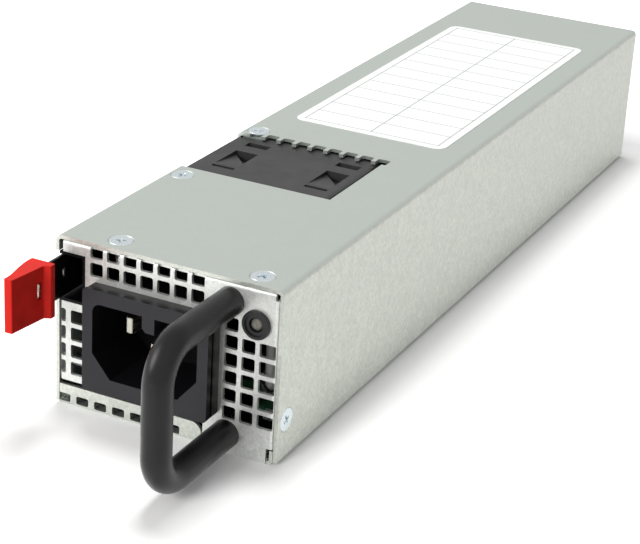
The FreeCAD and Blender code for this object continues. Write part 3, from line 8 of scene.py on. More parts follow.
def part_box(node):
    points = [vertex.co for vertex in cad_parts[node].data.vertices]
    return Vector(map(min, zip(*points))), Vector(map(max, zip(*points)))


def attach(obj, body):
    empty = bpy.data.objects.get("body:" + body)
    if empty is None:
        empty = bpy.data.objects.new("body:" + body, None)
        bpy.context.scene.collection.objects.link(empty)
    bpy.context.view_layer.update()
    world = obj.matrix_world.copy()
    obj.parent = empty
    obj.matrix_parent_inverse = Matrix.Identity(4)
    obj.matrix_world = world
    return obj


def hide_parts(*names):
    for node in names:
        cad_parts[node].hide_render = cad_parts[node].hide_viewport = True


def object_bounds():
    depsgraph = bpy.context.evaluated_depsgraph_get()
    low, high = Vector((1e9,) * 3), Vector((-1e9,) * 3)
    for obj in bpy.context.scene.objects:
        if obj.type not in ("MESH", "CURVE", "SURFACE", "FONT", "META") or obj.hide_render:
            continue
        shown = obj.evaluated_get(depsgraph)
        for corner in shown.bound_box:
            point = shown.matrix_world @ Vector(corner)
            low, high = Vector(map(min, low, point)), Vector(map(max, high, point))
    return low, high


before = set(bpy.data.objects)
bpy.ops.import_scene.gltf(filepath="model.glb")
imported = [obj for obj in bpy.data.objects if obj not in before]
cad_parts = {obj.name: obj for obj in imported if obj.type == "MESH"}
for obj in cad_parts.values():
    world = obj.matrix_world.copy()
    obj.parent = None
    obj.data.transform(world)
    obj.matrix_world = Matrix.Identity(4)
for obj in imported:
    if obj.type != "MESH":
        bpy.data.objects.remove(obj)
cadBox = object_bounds()
mm = 0.001
scene = bpy.context.scene
print("frame loaded:", len(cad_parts), "nodes")


def addNode(tree, kind, inputs=None, **settings):
    node = tree.nodes.new("ShaderNode" + kind)
    for key, value in settings.items():
        setattr(node, key, value)
    for key, value in (inputs or {}).items():
        if isinstance(value, bpy.types.NodeSocket):
            tree.links.new(value, node.inputs[key])
        else:
            node.inputs[key].default_value = value
    return node


socketNames = {
    "specular": "Specular IOR Level",
    "coat": "Coat Weight",
    "coatRoughness": "Coat Roughness",
    "ior": "IOR",
    "transmission": "Transmission Weight",
    "metallic": "Metallic",
}


def newFinish(name, colour, roughness, **sockets):
    material = bpy.data.materials.new(name)
    material.use_nodes = True
    tree = material.node_tree
    shader = tree.nodes["Principled BSDF"]
    shader.inputs["Base Color"].default_value = (*colour, 1)
    shader.inputs["Roughness"].default_value = roughness
    for key, value in sockets.items():
        shader.inputs[socketNames[key]].default_value = value
    return material, tree, shader


def noiseField(tree, size, detail=3, stretch=(1, 1, 1)):
    # size is the width in metres of one blotch of the pattern
    place = addNode(tree, "TexCoord").outputs["Object"]
    if stretch != (1, 1, 1):
        scaled = addNode(tree, "Mapping", {"Vector": place})
        scaled.inputs["Scale"].default_value = [1 / s for s in stretch]
        place = scaled.outputs["Vector"]
    field = addNode(tree, "TexNoise", {"Vector": place, "Scale": 1 / size, "Detail": detail})
    return field.outputs["Fac"]


def crystalField(tree, size):
    # one plain value for each zinc crystal, its outline bent a little
    place = addNode(tree, "TexCoord").outputs["Object"]
    bend = addNode(tree, "TexNoise", {"Vector": place, "Scale": 0.6 / size, "Detail": 2.0})
    moved = addNode(
        tree, "VectorMath", {0: bend.outputs["Color"], 1: (size, size, size)}, operation="MULTIPLY"
    )
    bent = addNode(tree, "VectorMath", {0: place, 1: moved.outputs[0]}, operation="ADD")
    cells = addNode(tree, "TexVoronoi", {"Vector": bent.outputs[0], "Scale": 1 / size})
    return addNode(tree, "SeparateColor", {"Color": cells.outputs["Color"]}).outputs["Red"]


def spread(tree, field, low, high, start=0.3, end=0.7):
    # the field's range from start to end becomes low to high, and stays within them
    ranges = {"Value": field, "From Min": start, "From Max": end, "To Min": low, "To Max": high}
    return addNode(tree, "MapRange", ranges).outputs["Result"]


def maths(tree, operation, first, second):
    return addNode(tree, "Math", {0: first, 1: second}, operation=operation).outputs[0]


def product(tree, *fields):
    result = fields[0]
    for field in fields[1:]:
        result = maths(tree, "MULTIPLY", result, field)
    return result


def total(tree, first, second):
    return maths(tree, "ADD", first, second)


def tinted(tree, colour, factor):
    # the colour made lighter and darker by a factor that varies round 1
    return addNode(tree, "VectorMath", {0: colour, "Scale": factor}, operation="SCALE").outputs[0]


def blended(tree, field, first, second):
    mix = addNode(tree, "Mix", {0: field}, data_type="RGBA")
    mix.inputs[6].default_value = (*first, 1)
    mix.inputs[7].default_value = (*second, 1)
    return mix.outputs[2]


def alongAxis(tree, axis):
    place = addNode(tree, "TexCoord").outputs["Object"]
    return addNode(tree, "SeparateXYZ", {0: place}).outputs[axis]


def bumped(tree, shader, field, depth, strength):
    bump = addNode(tree, "Bump", {"Height": field, "Distance": depth, "Strength": strength})
    tree.links.new(bump.outputs["Normal"], shader.inputs["Normal"])


sheetLooks = {
    "coverSheet": {
        "colour": (0.57, 0.615, 0.57),
        "side": (0.615, 0.635, 0.58),  # the walls and the front: painted light, lighter and warmer than the top to match how they are lit
        "roughness": 0.42,
        "metallic": 0.85,
    },
    # the front panel's sheet, lighter than the cover's: painted light for its brightly lit front
    "panelSheet": {
        "colour": (0.69, 0.70, 0.675),
        "side": (0.69, 0.70, 0.675),
        "roughness": 0.38,
        "metallic": 0.6,
    },
}
sheetGrain = {
    "crystal": 1.5 * mm,  # width of a zinc crystal
    "cloud": 10 * mm,  # broad blotches left by the coating line
    "grain": 0.55 * mm,
    "rolled": (1, 1, 1.3),  # the grain runs a little up the side walls
    "wallDepth": 0.3 * mm,  # how far in from the outer walls and the front the wall colour, which is painted light, and the speckle reach
    "topShare": 0.2,  # how much of the walls' speckle the top shows
    "crystalShade": 0.05,
    "grainShade": 0.1,
    "cloudShade": 0.03,
    "crystalRough": 0.03,
    "cloudRough": 0.08,
    "bump": (0.01 * mm, 0.4),  # depth, strength
}


def galvanisedSheet(name):
    look = sheetLooks[name]
    zinc = sheetGrain
    material, tree, shader = newFinish(name, look["colour"], look["roughness"], metallic=look["metallic"])
    # the side walls and the front are told from the top by their place
    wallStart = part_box("top_cover")[1].x - zinc["wallDepth"]
    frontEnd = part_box("front_panel")[0].y + zinc["wallDepth"]
    reach = maths(tree, "ABSOLUTE", alongAxis(tree, "X"), 0.0)
    side = maths(tree, "GREATER_THAN", reach, wallStart)
    front = maths(tree, "LESS_THAN", alongAxis(tree, "Y"), frontEnd)
    wall = maths(tree, "MAXIMUM", side, front)
    crystals = crystalField(tree, zinc["crystal"])
    clouds = noiseField(tree, zinc["cloud"], 4)
    grain = noiseField(tree, zinc["grain"], 3, zinc["rolled"])
    shades = product(
        tree,
        spread(tree, crystals, 1 - zinc["crystalShade"], 1 + zinc["crystalShade"], 0, 1),
        spread(tree, grain, 1 - zinc["grainShade"], 1 + zinc["grainShade"]),
        spread(tree, clouds, 1 - zinc["cloudShade"], 1 + zinc["cloudShade"]),
    )
    amount = spread(tree, wall, zinc["topShare"], 1.0, 0, 1)
    shade = total(tree, product(tree, maths(tree, "SUBTRACT", shades, 1.0), amount), 1.0)
    # painted light: the walls and the front take the lighter, warmer wall colour, while the top keeps its
    # own
    colour = blended(tree, wall, look["colour"], look["side"])
    tree.links.new(tinted(tree, colour, shade), shader.inputs["Base Color"])
    blotches = total(
        tree,
        spread(tree, crystals, -zinc["crystalRough"], zinc["crystalRough"], 0, 1),
        spread(tree, clouds, 0, zinc["cloudRough"]),
    )
    rough = total(tree, product(tree, blotches, amount), look["roughness"] - zinc["cloudRough"] / 2)
    tree.links.new(rough, shader.inputs["Roughness"])
    bumped(tree, shader, grain, *zinc["bump"])
    return material


metalGrain = {
    "light": (0.9, 1.08),
    "rough": 0.07,
    "bump": (0.008 * mm, 0.5),
}


def plainMetal(name, colour, roughness, grainSize, stretch=(1, 1, 1)):
    look = metalGrain
    material, tree, shader = newFinish(name, colour, roughness, metallic=1.0)
    grain = noiseField(tree, grainSize, 3, stretch)
    shade = spread(tree, grain, *look["light"])
    tree.links.new(tinted(tree, colour, shade), shader.inputs["Base Color"])
    rough = spread(tree, grain, roughness - look["rough"], roughness + look["rough"])
    tree.links.new(rough, shader.inputs["Roughness"])
    bumped(tree, shader, grain, *look["bump"])
    return material


plasticGrain = {
    "blotch": 6 * mm,
    "light": (0.88, 1.12),
    "rough": (-0.06, 0.08),
    "strength": 0.5,
}


def mouldedPlastic(name, colour, roughness, grainSize=0.35 * mm, specular=0.5, depth=0.02 * mm):
    look = plasticGrain
    material, tree, shader = newFinish(name, colour, roughness, specular=specular)
    grain = noiseField(tree, grainSize, 2)
    blotch = noiseField(tree, look["blotch"], 3)
    shade = spread(tree, blotch, *look["light"])
    tree.links.new(tinted(tree, colour, shade), shader.inputs["Base Color"])
    low, high = look["rough"]
    tree.links.new(spread(tree, blotch, roughness + low, roughness + high), shader.inputs["Roughness"])
    bumped(tree, shader, grain, depth, look["strength"])
    return material


inletLook = {
    "face": (0.026, 0.025, 0.028),  # the finely grained front face
    "inside": (0.005, 0.005, 0.006),  # the sides, top and cavity: polished, and painted about five times darker than the face as painted shade
    "faceDepth": 0.12 * mm,
    "light": (0.9, 1.1),
    "roughness": 0.5,  # its plain value, which the pattern then varies
    "faceRough": (0.48, 0.58),
    "polish": 0.16,  # how much smoother the inside is
    "specular": 0.2,
    "grain": 0.4 * mm,
    "blotch": 5 * mm,
    "bump": (0.02 * mm, 0.5),
}


def inletPlastic():
    look = inletLook
    material, tree, shader = newFinish(
        "inletPlastic", look["face"], look["roughness"], specular=look["specular"]
    )
    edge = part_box("inlet_housing")[0].y + look["faceDepth"]
    behind = maths(tree, "GREATER_THAN", alongAxis(tree, "Y"), edge)
    grain = noiseField(tree, look["grain"], 2)
    blotch = noiseField(tree, look["blotch"], 3)
    # painted shade: everything behind the front face takes the much darker inside colour
    colour = blended(tree, behind, look["face"], look["inside"])
    shade = spread(tree, blotch, *look["light"])
    tree.links.new(tinted(tree, colour, shade), shader.inputs["Base Color"])
    polish = product(tree, behind, look["polish"])
    rough = maths(tree, "SUBTRACT", spread(tree, blotch, *look["faceRough"]), polish)
    tree.links.new(rough, shader.inputs["Roughness"])
    bumped(tree, shader, grain, *look["bump"])
    return material


coatingLook = {
    "colour": (0.0048, 0.0047, 0.0056),
    "roughness": 0.32,
    "specular": 0.3,
    "worn": 9 * mm,  # width of the patches that handling has polished or dulled
    "wornShade": (0.6, 1.7),
    "wornRough": (0.22, 0.42),
    "peel": 0.9 * mm,
    "bump": (0.03 * mm, 0.5),
}


def satinCoating():
    look = coatingLook
    material, tree, shader = newFinish(
        "satinBlackCoating", look["colour"], look["roughness"], specular=look["specular"]
    )
    peel = noiseField(tree, look["peel"], 2)
    worn = noiseField(tree, look["worn"], 5)
    shade = spread(tree, worn, *look["wornShade"])
    tree.links.new(tinted(tree, look["colour"], shade), shader.inputs["Base Color"])
    tree.links.new(spread(tree, worn, *look["wornRough"]), shader.inputs["Roughness"])
    bumped(tree, shader, peel, *look["bump"])
    return material


resinLook = {
    "colour": (0.27, 0.26, 0.22),
    "roughness": 0.12,
    "haze": 0.5 * mm,
    "rough": (0.08, 0.2),
    "clear": 0.3,
    "ior": 1.5,
}


def clearResin():
    look = resinLook
    material, tree, shader = newFinish(
        "clearResin", look["colour"], look["roughness"], transmission=look["clear"], ior=look["ior"]
    )
    haze = noiseField(tree, look["haze"], 3)
    tree.links.new(spread(tree, haze, *look["rough"]), shader.inputs["Roughness"])
    return material


boardLook = {
    "mask": (0.012, 0.10, 0.035),
    "track": (0.02, 0.16, 0.055),
    "gap": (0.006, 0.05, 0.02),
    "trackScale": 180.0,
    "gapWidth": 0.012,
    "weave": 0.6 * mm,
    "roughness": 0.3,
    "bump": (0.02 * mm, 0.4),
}


def circuitBoard():
    look = boardLook
    material, tree, shader = newFinish(
        "circuitBoard", look["mask"], look["roughness"], coat=0.4, coatRoughness=0.2
    )
    place = addNode(tree, "TexCoord").outputs["Object"]
    pattern = {"Vector": place, "Scale": look["trackScale"], "Mortar Size": look["gapWidth"]}
    tracks = addNode(tree, "TexBrick", pattern, offset=0.35, squash=1.6)
    for key, part in (("Color1", "mask"), ("Color2", "track"), ("Mortar", "gap")):
        tracks.inputs[key].default_value = (*look[part], 1)
    tree.links.new(tracks.outputs["Color"], shader.inputs["Base Color"])
    bumped(tree, shader, noiseField(tree, look["weave"], 1), *look["bump"])
    return material


windingLook = {
    "period": 0.31,  # the wave pattern's own
    "shade": (0.55, 1.15),
    "wander": 1.5,
    "roughness": 0.3,
    "bump": (0.2 * mm, 0.6),
}


def windingWire(name, colour, pitch):
    # enamelled turns show as fine ridges
    look = windingLook
    material, tree, shader = newFinish(
        name, colour, look["roughness"], metallic=0.7, coat=0.5, coatRoughness=0.15
    )
    place = addNode(tree, "TexCoord").outputs["Object"]
    ripple = {"Vector": place, "Scale": look["period"] / pitch, "Distortion": look["wander"]}
    turns = addNode(tree, "TexWave", ripple, bands_direction="DIAGONAL").outputs["Fac"]
    shade = spread(tree, turns, *look["shade"], 0, 1)
    tree.links.new(tinted(tree, colour, shade), shader.inputs["Base Color"])
    bumped(tree, shader, turns, *look["bump"])
    return material


labelLook = {
    "paper": (0.90, 0.92, 0.90),
    "ink": (0.36, 0.38, 0.38),
    "margin": 2.2 * mm,  # bare paper round the ruled form
    "row": 7.5 * mm,
    "column": 21 * mm,
    "rule": 0.3 * mm,
    "fibre": 1.2 * mm,
    "fibreShade": (0.985, 1.01),
    "roughness": 0.45,
    "specular": 0.4,
    "wave": 9 * mm,  # the film doesn't lie quite flat
    "bump": (0.03 * mm, 0.4),
}


def ruled(tree, place, start, pitch, width):
    # 1 on thin lines at equal steps from start
    steps = maths(tree, "DIVIDE", maths(tree, "SUBTRACT", place, start - width / 2), pitch)
    part = maths(tree, "FRACT", steps, 0.0)
    return maths(tree, "LESS_THAN", part, width / pitch)


def within(tree, place, low, high):
    return product(tree, maths(tree, "GREATER_THAN", place, low), maths(tree, "LESS_THAN", place, high))


def labelFilm():
    # white film with a plain ruled form, its boxes empty
    look = labelLook
    material, tree, shader = newFinish(
        "labelFilm", look["paper"], look["roughness"], specular=look["specular"]
    )
    low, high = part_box("rating_label")
    across, along = alongAxis(tree, "X"), alongAxis(tree, "Y")
    margin, rule = look["margin"], look["rule"]
    formWidth = high.x - low.x - 2 * margin
    formLength = high.y - low.y - 2 * margin
    columnWidth = formWidth / round(formWidth / look["column"])
    rowWidth = formLength / round(formLength / look["row"])
    lines = maths(
        tree, "MAXIMUM",
        ruled(tree, across, low.x + margin, columnWidth, rule),
        ruled(tree, along, low.y + margin, rowWidth, rule),
    )
    inside = product(
        tree,
        within(tree, across, low.x + margin - rule, high.x - margin + rule),
        within(tree, along, low.y + margin - rule, high.y - margin + rule),
        lines,
    )
    fibre = noiseField(tree, look["fibre"], 4)
    colour = blended(tree, inside, look["paper"], look["ink"])
    shade = spread(tree, fibre, *look["fibreShade"])
    tree.links.new(tinted(tree, colour, shade), shader.inputs["Base Color"])
    bumped(tree, shader, noiseField(tree, look["wave"], 2), *look["bump"])
    return material


finishes = {
    "galvanised_steel": galvanisedSheet("coverSheet"),
    "zinc_screws": plainMetal("brightZinc", (0.70, 0.77, 0.80), 0.28, 0.4 * mm),
    "black_steel": satinCoating(),
    "spring_steel": plainMetal("springSteel", (0.55, 0.55, 0.53), 0.32, 0.5 * mm, (1, 6, 1)),
    "black_plastic": inletPlastic(),
    "dark_plastic": mouldedPlastic("fanPlastic", (0.030, 0.030, 0.0305), 0.45, specular=0.3),
    "red_plastic": mouldedPlastic("redPlastic", (0.66, 0.02, 0.013), 0.42, specular=0.14, depth=0.01 * mm),
    "nickel_pins": plainMetal("nickelPlate", (0.50, 0.48, 0.41), 0.3, 0.5 * mm, (1, 5, 1)),
    "clear_lens": clearResin(),
    "green_board": circuitBoard(),
    "gold_contacts": plainMetal("goldPlate", (0.83, 0.60, 0.24), 0.25, 0.4 * mm),
    "black_film": mouldedPlastic("blackFilm", (0.012, 0.012, 0.013), 0.3),
    "lamp_sleeve": mouldedPlastic("lampSleeve", (0.36, 0.36, 0.34), 0.45),
    "dark_winding": windingWire("darkEnamel", (0.06, 0.025, 0.012), 0.8 * mm),
    "aluminium_sink": plainMetal("extrudedAluminium", (0.66, 0.67, 0.68), 0.35, 0.5 * mm, (1, 12, 1)),
    "sleeve_plastic": mouldedPlastic("shrinkSleeve", (0.02, 0.026, 0.05), 0.22),
    "case_plastic": mouldedPlastic("filterCase", (0.5, 0.33, 0.05), 0.35),
    "grey_plastic": mouldedPlastic("deviceEpoxy", (0.03, 0.03, 0.031), 0.5),
    "ferrite": mouldedPlastic("sinteredFerrite", (0.06, 0.06, 0.063), 0.6, 0.25 * mm, 0.4, 0.05 * mm),
    "copper_winding": windingWire("enamelledCopper", (0.55, 0.22, 0.08), 0.8 * mm),
    "wire_sleeve": mouldedPlastic("blackSleeve", (0.05, 0.05, 0.05), 0.35),
    "earth_sleeve": mouldedPlastic("earthSleeve", (0.10, 0.32, 0.06), 0.35),
    "fuse_sleeve": mouldedPlastic("fuseSleeve", (0.012, 0.012, 0.013), 0.35),
    "blue_disc": mouldedPlastic("dippedEpoxy", (0.03, 0.09, 0.33), 0.25),
    "label_film": labelFilm(),
}
# nodes whose sheet or moulding differs from the rest of its slot; the front panel's lighter sheet is
# painted light
ownFinishes = {
    "front_panel": galvanisedSheet("panelSheet"),
    "latch_housing": mouldedPlastic("linerPlastic", (0.004, 0.004, 0.005), 0.4, specular=0.12),
    "led_bezel": mouldedPlastic("bezelPlastic", (0.026, 0.026, 0.027), 0.38, specular=0.25),
}


def dressNodes():
    for name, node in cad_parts.items():
        for holder in node.material_slots:
            slotName = holder.material.name.split(".")[0]
            holder.material = ownFinishes.get(name, finishes[slotName])


dressNodes()
print("finishes on the frame:", len(finishes) + len(ownFinishes))


def meshFrom(bm, name):
    mesh = bpy.data.meshes.new(name)
    bm.to_mesh(mesh)
    bm.free()
    return mesh


def newPiece(name, body, slotName, mesh, replaced=()):
    piece = bpy.data.objects.new(name, mesh)
    scene.collection.objects.link(piece)
    mesh.materials.append(finishes[slotName])
    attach(piece, body)
    if replaced:
        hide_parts(*replaced)
    return piece


edgeLook = {
    "sharp": 32,  # degrees between faces from which an edge stays sharp
    "rounded": 35,  # and from which it is rounded
}


def finishPiece(piece, width, steps):
    # smooth shading, with the sharp edges rounded
    mesh = piece.data
    for face in mesh.polygons:
        face.use_smooth = True
    mesh.set_sharp_from_angle(angle=math.radians(edgeLook["sharp"]))
    rounding = piece.modifiers.new("roundedEdges", "BEVEL")
    rounding.width = width
    rounding.segments = steps
    rounding.limit_method = "ANGLE"
    rounding.angle_limit = math.radians(edgeLook["rounded"])
    rounding.harden_normals = True


softEdges = {
    # piece: node, slot, how far its sharp edges are rounded, steps
    "inletShroud": ("inlet_housing", "black_plastic", 0.3 * mm, 3),
    "neutralBlade": ("inlet_neutral_pin", "nickel_pins", 0.55 * mm, 4),
    "lineBlade": ("inlet_line_pin", "nickel_pins", 0.55 * mm, 4),
    "earthBlade": ("inlet_earth_pin", "nickel_pins", 0.55 * mm, 4),
}


meshCleaning = {
    "join": 0.002 * mm,  # points nearer than this become one
    "flat": 0.6,  # faces within these degrees become one
}


def softenedPieces():
    # the inlet's own shapes with their sharp edges rounded
    for name, (node, slotName, width, steps) in softEdges.items():
        bm = bmesh.new()
        bm.from_mesh(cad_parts[node].data)
        bmesh.ops.remove_doubles(bm, verts=bm.verts, dist=meshCleaning["join"])
        flat = math.radians(meshCleaning["flat"])
        bmesh.ops.dissolve_limit(bm, angle_limit=flat, verts=bm.verts, edges=bm.edges)
        for face in bm.faces:
            face.material_index = 0
        piece = newPiece(name, "casing", slotName, meshFrom(bm, name), [node])
        finishPiece(piece, width, steps)


softenedPieces()
print(f"{len(softEdges)} pieces with soft edges made")


gripLook = {
    # outline from the grip's lower left front corner: right, back, how far its corner is rounded
    "outline": [
        (3.35, 0.1, 0.3), (1.45, 0.1, 0.3), (1.5, 2.3, 1.2), (0.45, 7.2, 1.6), (0.05, 9.8, 1.2),
        (0.05, 12.3, 0.3), (5.85, 12.3, 0.25), (5.85, 10.75, 0.3), (4.45, 10.1, 0.3),
    ],
    "arcSteps": 5,
    "edge": 0.3 * mm,
    "slotNear": 8.1 * mm,
    "slotFar": 9.75 * mm,
    "slotLow": 4.6 * mm,
    "slotHigh": 8.5 * mm,
    "slotDeep": 1.2 * mm,
}
steelLook = {
    # bit of steel: place from the same corner of the grip's box, size
    "tongue": ((3.2 * mm, 8.2 * mm, 4.95 * mm), (1.0 * mm, 1.35 * mm, 3.3 * mm)),
    "armLug": ((2.45 * mm, 19.55 * mm, 5.7 * mm), (0.45 * mm, 0.5 * mm, 1.6 * mm)),
    "corner": 0.2 * mm,
}


def roundedOutline(points, steps):
    # each corner becomes a short arc that starts and ends the given way from it
    outline = []
    for i, (x, y, cut) in enumerate(points):
        corner = Vector((x, y))
        before = Vector(points[i - 1][:2]) - corner
        after = Vector(points[(i + 1) % len(points)][:2]) - corner
        start = corner + before.normalized() * cut
        end = corner + after.normalized() * cut
        for step in range(steps + 1):
            t = step / steps
            outline.append((1 - t) ** 2 * start + 2 * t * (1 - t) * corner + t ** 2 * end)
    return [point * mm for point in outline]


def redGrip():
    look = gripLook
    low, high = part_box("release_tab")
    outline = [low.xy + point for point in roundedOutline(look["outline"], look["arcSteps"])]
    bm = bmesh.new()
    floor = [bm.verts.new((*point, low.z)) for point in outline]
    roof = [bm.verts.new((*point, high.z)) for point in outline]
    bm.faces.new(floor)
    bm.faces.new(roof[::-1])
    for i in range(len(outline) - 1):
        bm.faces.new((floor[i], floor[i + 1], roof[i + 1], roof[i]))
    # the right side closes the outline, with the slot in it
    front, back = outline[0], outline[-1]
    inward = Vector(((back - front).y, -(back - front).x, 0)).normalized() * -look["slotDeep"]

    def onSide(near, height):
        share = (low.y + near - front.y) / (back.y - front.y)
        return Vector((*front.lerp(back, share), low.z + height))

    near, far = look["slotNear"], look["slotFar"]
    bottom, top = look["slotLow"], look["slotHigh"]
    mouth = [onSide(near, bottom), onSide(near, top), onSide(far, top), onSide(far, bottom)]
    rim = [bm.verts.new(point) for point in mouth]
    bed = [bm.verts.new(point + inward) for point in mouth]
    corners = [floor[0], roof[0], roof[-1], floor[-1]]
    for i in range(4):
        j = (i + 1) % 4
        bm.faces.new((corners[i], corners[j], rim[j], rim[i]))
        bm.faces.new((rim[i], rim[j], bed[j], bed[i]))
    bm.faces.new(bed)
    bmesh.ops.recalc_face_normals(bm, faces=bm.faces)
    grip = newPiece("redGrip", "latch", "red_plastic", meshFrom(bm, "redGrip"), ["release_tab"])
    finishPiece(grip, look["edge"], 3)


def steelBits():
    # bright steel that shows in the grip's slot and in the arm's
    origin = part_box("release_tab")[0]
    for name in ("tongue", "armLug"):
        place, size = steelLook[name]
        bm = bmesh.new()
        bmesh.ops.create_cube(bm, size=1.0)
        for vertex in bm.verts:
            vertex.co = origin + Vector([p + (c + 0.5) * s for p, c, s in zip(place, vertex.co, size)])
        bmesh.ops.bevel(bm, geom=list(bm.edges), offset=steelLook["corner"], segments=3, affect="EDGES")
        mesh = meshFrom(bm, name)
        for face in mesh.polygons:
            face.use_smooth = True
        newPiece(name, "latch", "nickel_pins", mesh)


redGrip()
steelBits()
print("release grip made")


def ringStack(bm, rings):
    # rings of equal length joined by quads, both ends closed by a face
    rows = [[bm.verts.new(p) for p in ring] for ring in rings]
    count = len(rows[0])
    for near, far in zip(rows, rows[1:]):
        for i in range(count):
            j = (i + 1) % count
            bm.faces.new((near[i], near[j], far[j], far[i]))
    bm.faces.new(rows[-1])
    bm.faces.new(rows[0][::-1])


screwLook = {
    "head": 2.65 * mm,
    "edge": 0.12 * mm,  # the turned edge of the head
    "neck": 1.25 * mm,
    "cone": 1.5 * mm,
    "length": 5 * mm,
    "crossReach": 1.2 * mm,
    "crossHalf": 0.26 * mm,
    "crossDepth": 0.9 * mm,
    "crossFoot": 0.55,  # the cross at its bed, against its size near the mouth
    "crossWall": 0.98,
    "crossMouth": 1.04,
    "crossEdge": 0.05 * mm,  # depth of the cross's rolled mouth
    "sink": 0.04 * mm,  # how far the head lies under the sheet's face
    "flat": 1.7 * mm,
    "level": 0.01 * mm,  # how level a head's highest points lie
    "apart": 2.4,  # how many head radii part one head's points from the next head's
    "firstTurn": 0.35,  # how the crosses stand, in radians
    "nextTurn": 0.6,
    "wallTurn": 0.5,
}


def crossRadius(angle, reach, half):
    # distance to a cross's outline in a direction given from its nearest arm
    turned = abs((angle + math.pi / 4) % (math.pi / 2) - math.pi / 4)
    if math.tan(turned) <= half / reach:
        return reach / math.cos(turned)
    return half / math.sin(turned)


def screwMesh(name, places):
    look = screwLook
    corner = math.atan2(look["crossHalf"], look["crossReach"])
    # directions in one quarter, with the arm's corners among them
    steps = [-math.pi / 4, -0.62, -0.45, -corner, 0, corner, 0.45, 0.62]
    angles = [quarter * math.pi / 2 + step for quarter in range(4) for step in steps]

    def circle(radius, z):
        return [(radius * math.cos(a), radius * math.sin(a), z) for a in angles]

    def cross(scale, z):
        reach = look["crossReach"] * scale
        half = look["crossHalf"] * (0.4 + 0.6 * scale)  # the arms narrow less than they shorten
        radii = [crossRadius(a, reach, half) for a in angles]
        return [(r * math.cos(a), r * math.sin(a), z) for r, a in zip(radii, angles)]

    top = -look["sink"]
    rings = [
        cross(look["crossFoot"], top - look["crossDepth"]),
        cross(look["crossWall"], top - look["crossEdge"]),
        cross(look["crossMouth"], top),
        circle(look["flat"], top),
        circle(look["head"] - look["edge"], top),
        circle(look["head"], top - look["edge"]),
        circle(look["neck"], top - look["cone"]),
        circle(look["neck"], top - look["length"]),
    ]
    bm = bmesh.new()
    for place in places:
        ringStack(bm, [[place @ Vector(p) for p in ring] for ring in rings])
    bmesh.ops.recalc_face_normals(bm, faces=bm.faces)
    return meshFrom(bm, name)


def coverScrews():
    look = screwLook
    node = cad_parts["top_screws"]
    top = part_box("top_screws")[1].z
    # the heads' centres come from the node's own highest faces
    apart = look["apart"] * look["head"]
    heads = []
    for vertex in node.data.vertices:
        if vertex.co.z < top - look["level"]:
            continue
        near = [head for head in heads if (head[0].xy - vertex.co.xy).length < apart]
        if near:
            near[0].append(vertex.co.copy())
        else:
            heads.append([vertex.co.copy()])
    places = []
    for turn, head in enumerate(heads):
        middle = (Vector(map(min, *head)) + Vector(map(max, *head))) / 2
        turned = Matrix.Rotation(look["firstTurn"] + look["nextTurn"] * turn, 4, "Z")
        places.append(Matrix.Translation((middle.x, middle.y, top)) @ turned)
    newPiece("coverScrewSet", "casing", "zinc_screws", screwMesh("coverScrewSet", places), ["top_screws"])


def wallScrews():
    sides = ((1, "right_screw", "rightWallScrew"), (-1, "left_screw", "leftWallScrew"))
    for side, nodeName, name in sides:
        low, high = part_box(nodeName)
        middle = (low + high) / 2
        middle.x = high.x if side > 0 else low.x
        outward = Matrix.Rotation(side * math.pi / 2, 4, "Y")
        turned = outward @ Matrix.Rotation(screwLook["wallTurn"], 4, "Z")
        mesh = screwMesh(name, [Matrix.Translation(middle) @ turned])
        newPiece(name, "casing", "zinc_screws", mesh, [nodeName])


coverScrews()
wallScrews()
print("screws made")


stageLook = {
    "floorSize": 6.0,
    "floorGap": 0.05 * mm,  # the part stands just clear of the floor
    "floorColour": (0.90, 0.90, 0.90),
    "floorRoughness": 0.9,
    "bounce": 0.38,  # how much of the floor's colour other surfaces receive
    "nearLift": 0.05,  # what the floor adds for the camera beside the object, kept low so it stays darker there: painted shade round the object
    "farLift": 0.65,  # and away from it, so that it reads as white
    "nearEdge": 4 * mm,
    "farEdge": 38 * mm,
    "glossLift": 0.18,
    "paintedFrontGloss": 0.26,  # a painted reflection: a brighter patch of floor before the casing that only reflections see
    "glossAhead": (-0.125, -0.108),  # where it fades out backwards
    "glossLeft": (0.015, 0.045),  # and to the right
    "surround": 0.18,  # the room's light from every side
    "frontLight": 1.25,  # the room's brighter front
    "frontTurn": 20,  # degrees to the left of straight ahead
    "frontRise": 0.25,
    "frontFocus": 2.0,
    "backShade": 0.24,  # how much darker the room behind looks in the metal
    "backReach": (-0.8, 0.2),
    "windowPlace": (-55, 32),  # azimuth and elevation of a soft window that only reflections show
    "windowGlow": 8.0,
    "windowEdge": 0.93,
}


def seenBy(tree, *kinds):
    # 1 for rays of any of these kinds
    path = addNode(tree, "LightPath")
    result = path.outputs[f"Is {kinds[0]} Ray"]
    for kind in kinds[1:]:
        result = maths(tree, "MAXIMUM", result, path.outputs[f"Is {kind} Ray"])
    return result


def besideBox(tree, axis, i):
    # how far a place lies beside the part's box along one axis, 0 under it
    low, high = cadBox[0][i], cadBox[1][i]
    fromMiddle = maths(tree, "SUBTRACT", alongAxis(tree, axis), (low + high) / 2)
    past = maths(tree, "SUBTRACT", maths(tree, "ABSOLUTE", fromMiddle, 0.0), (high - low) / 2)
    return maths(tree, "MAXIMUM", past, 0.0)


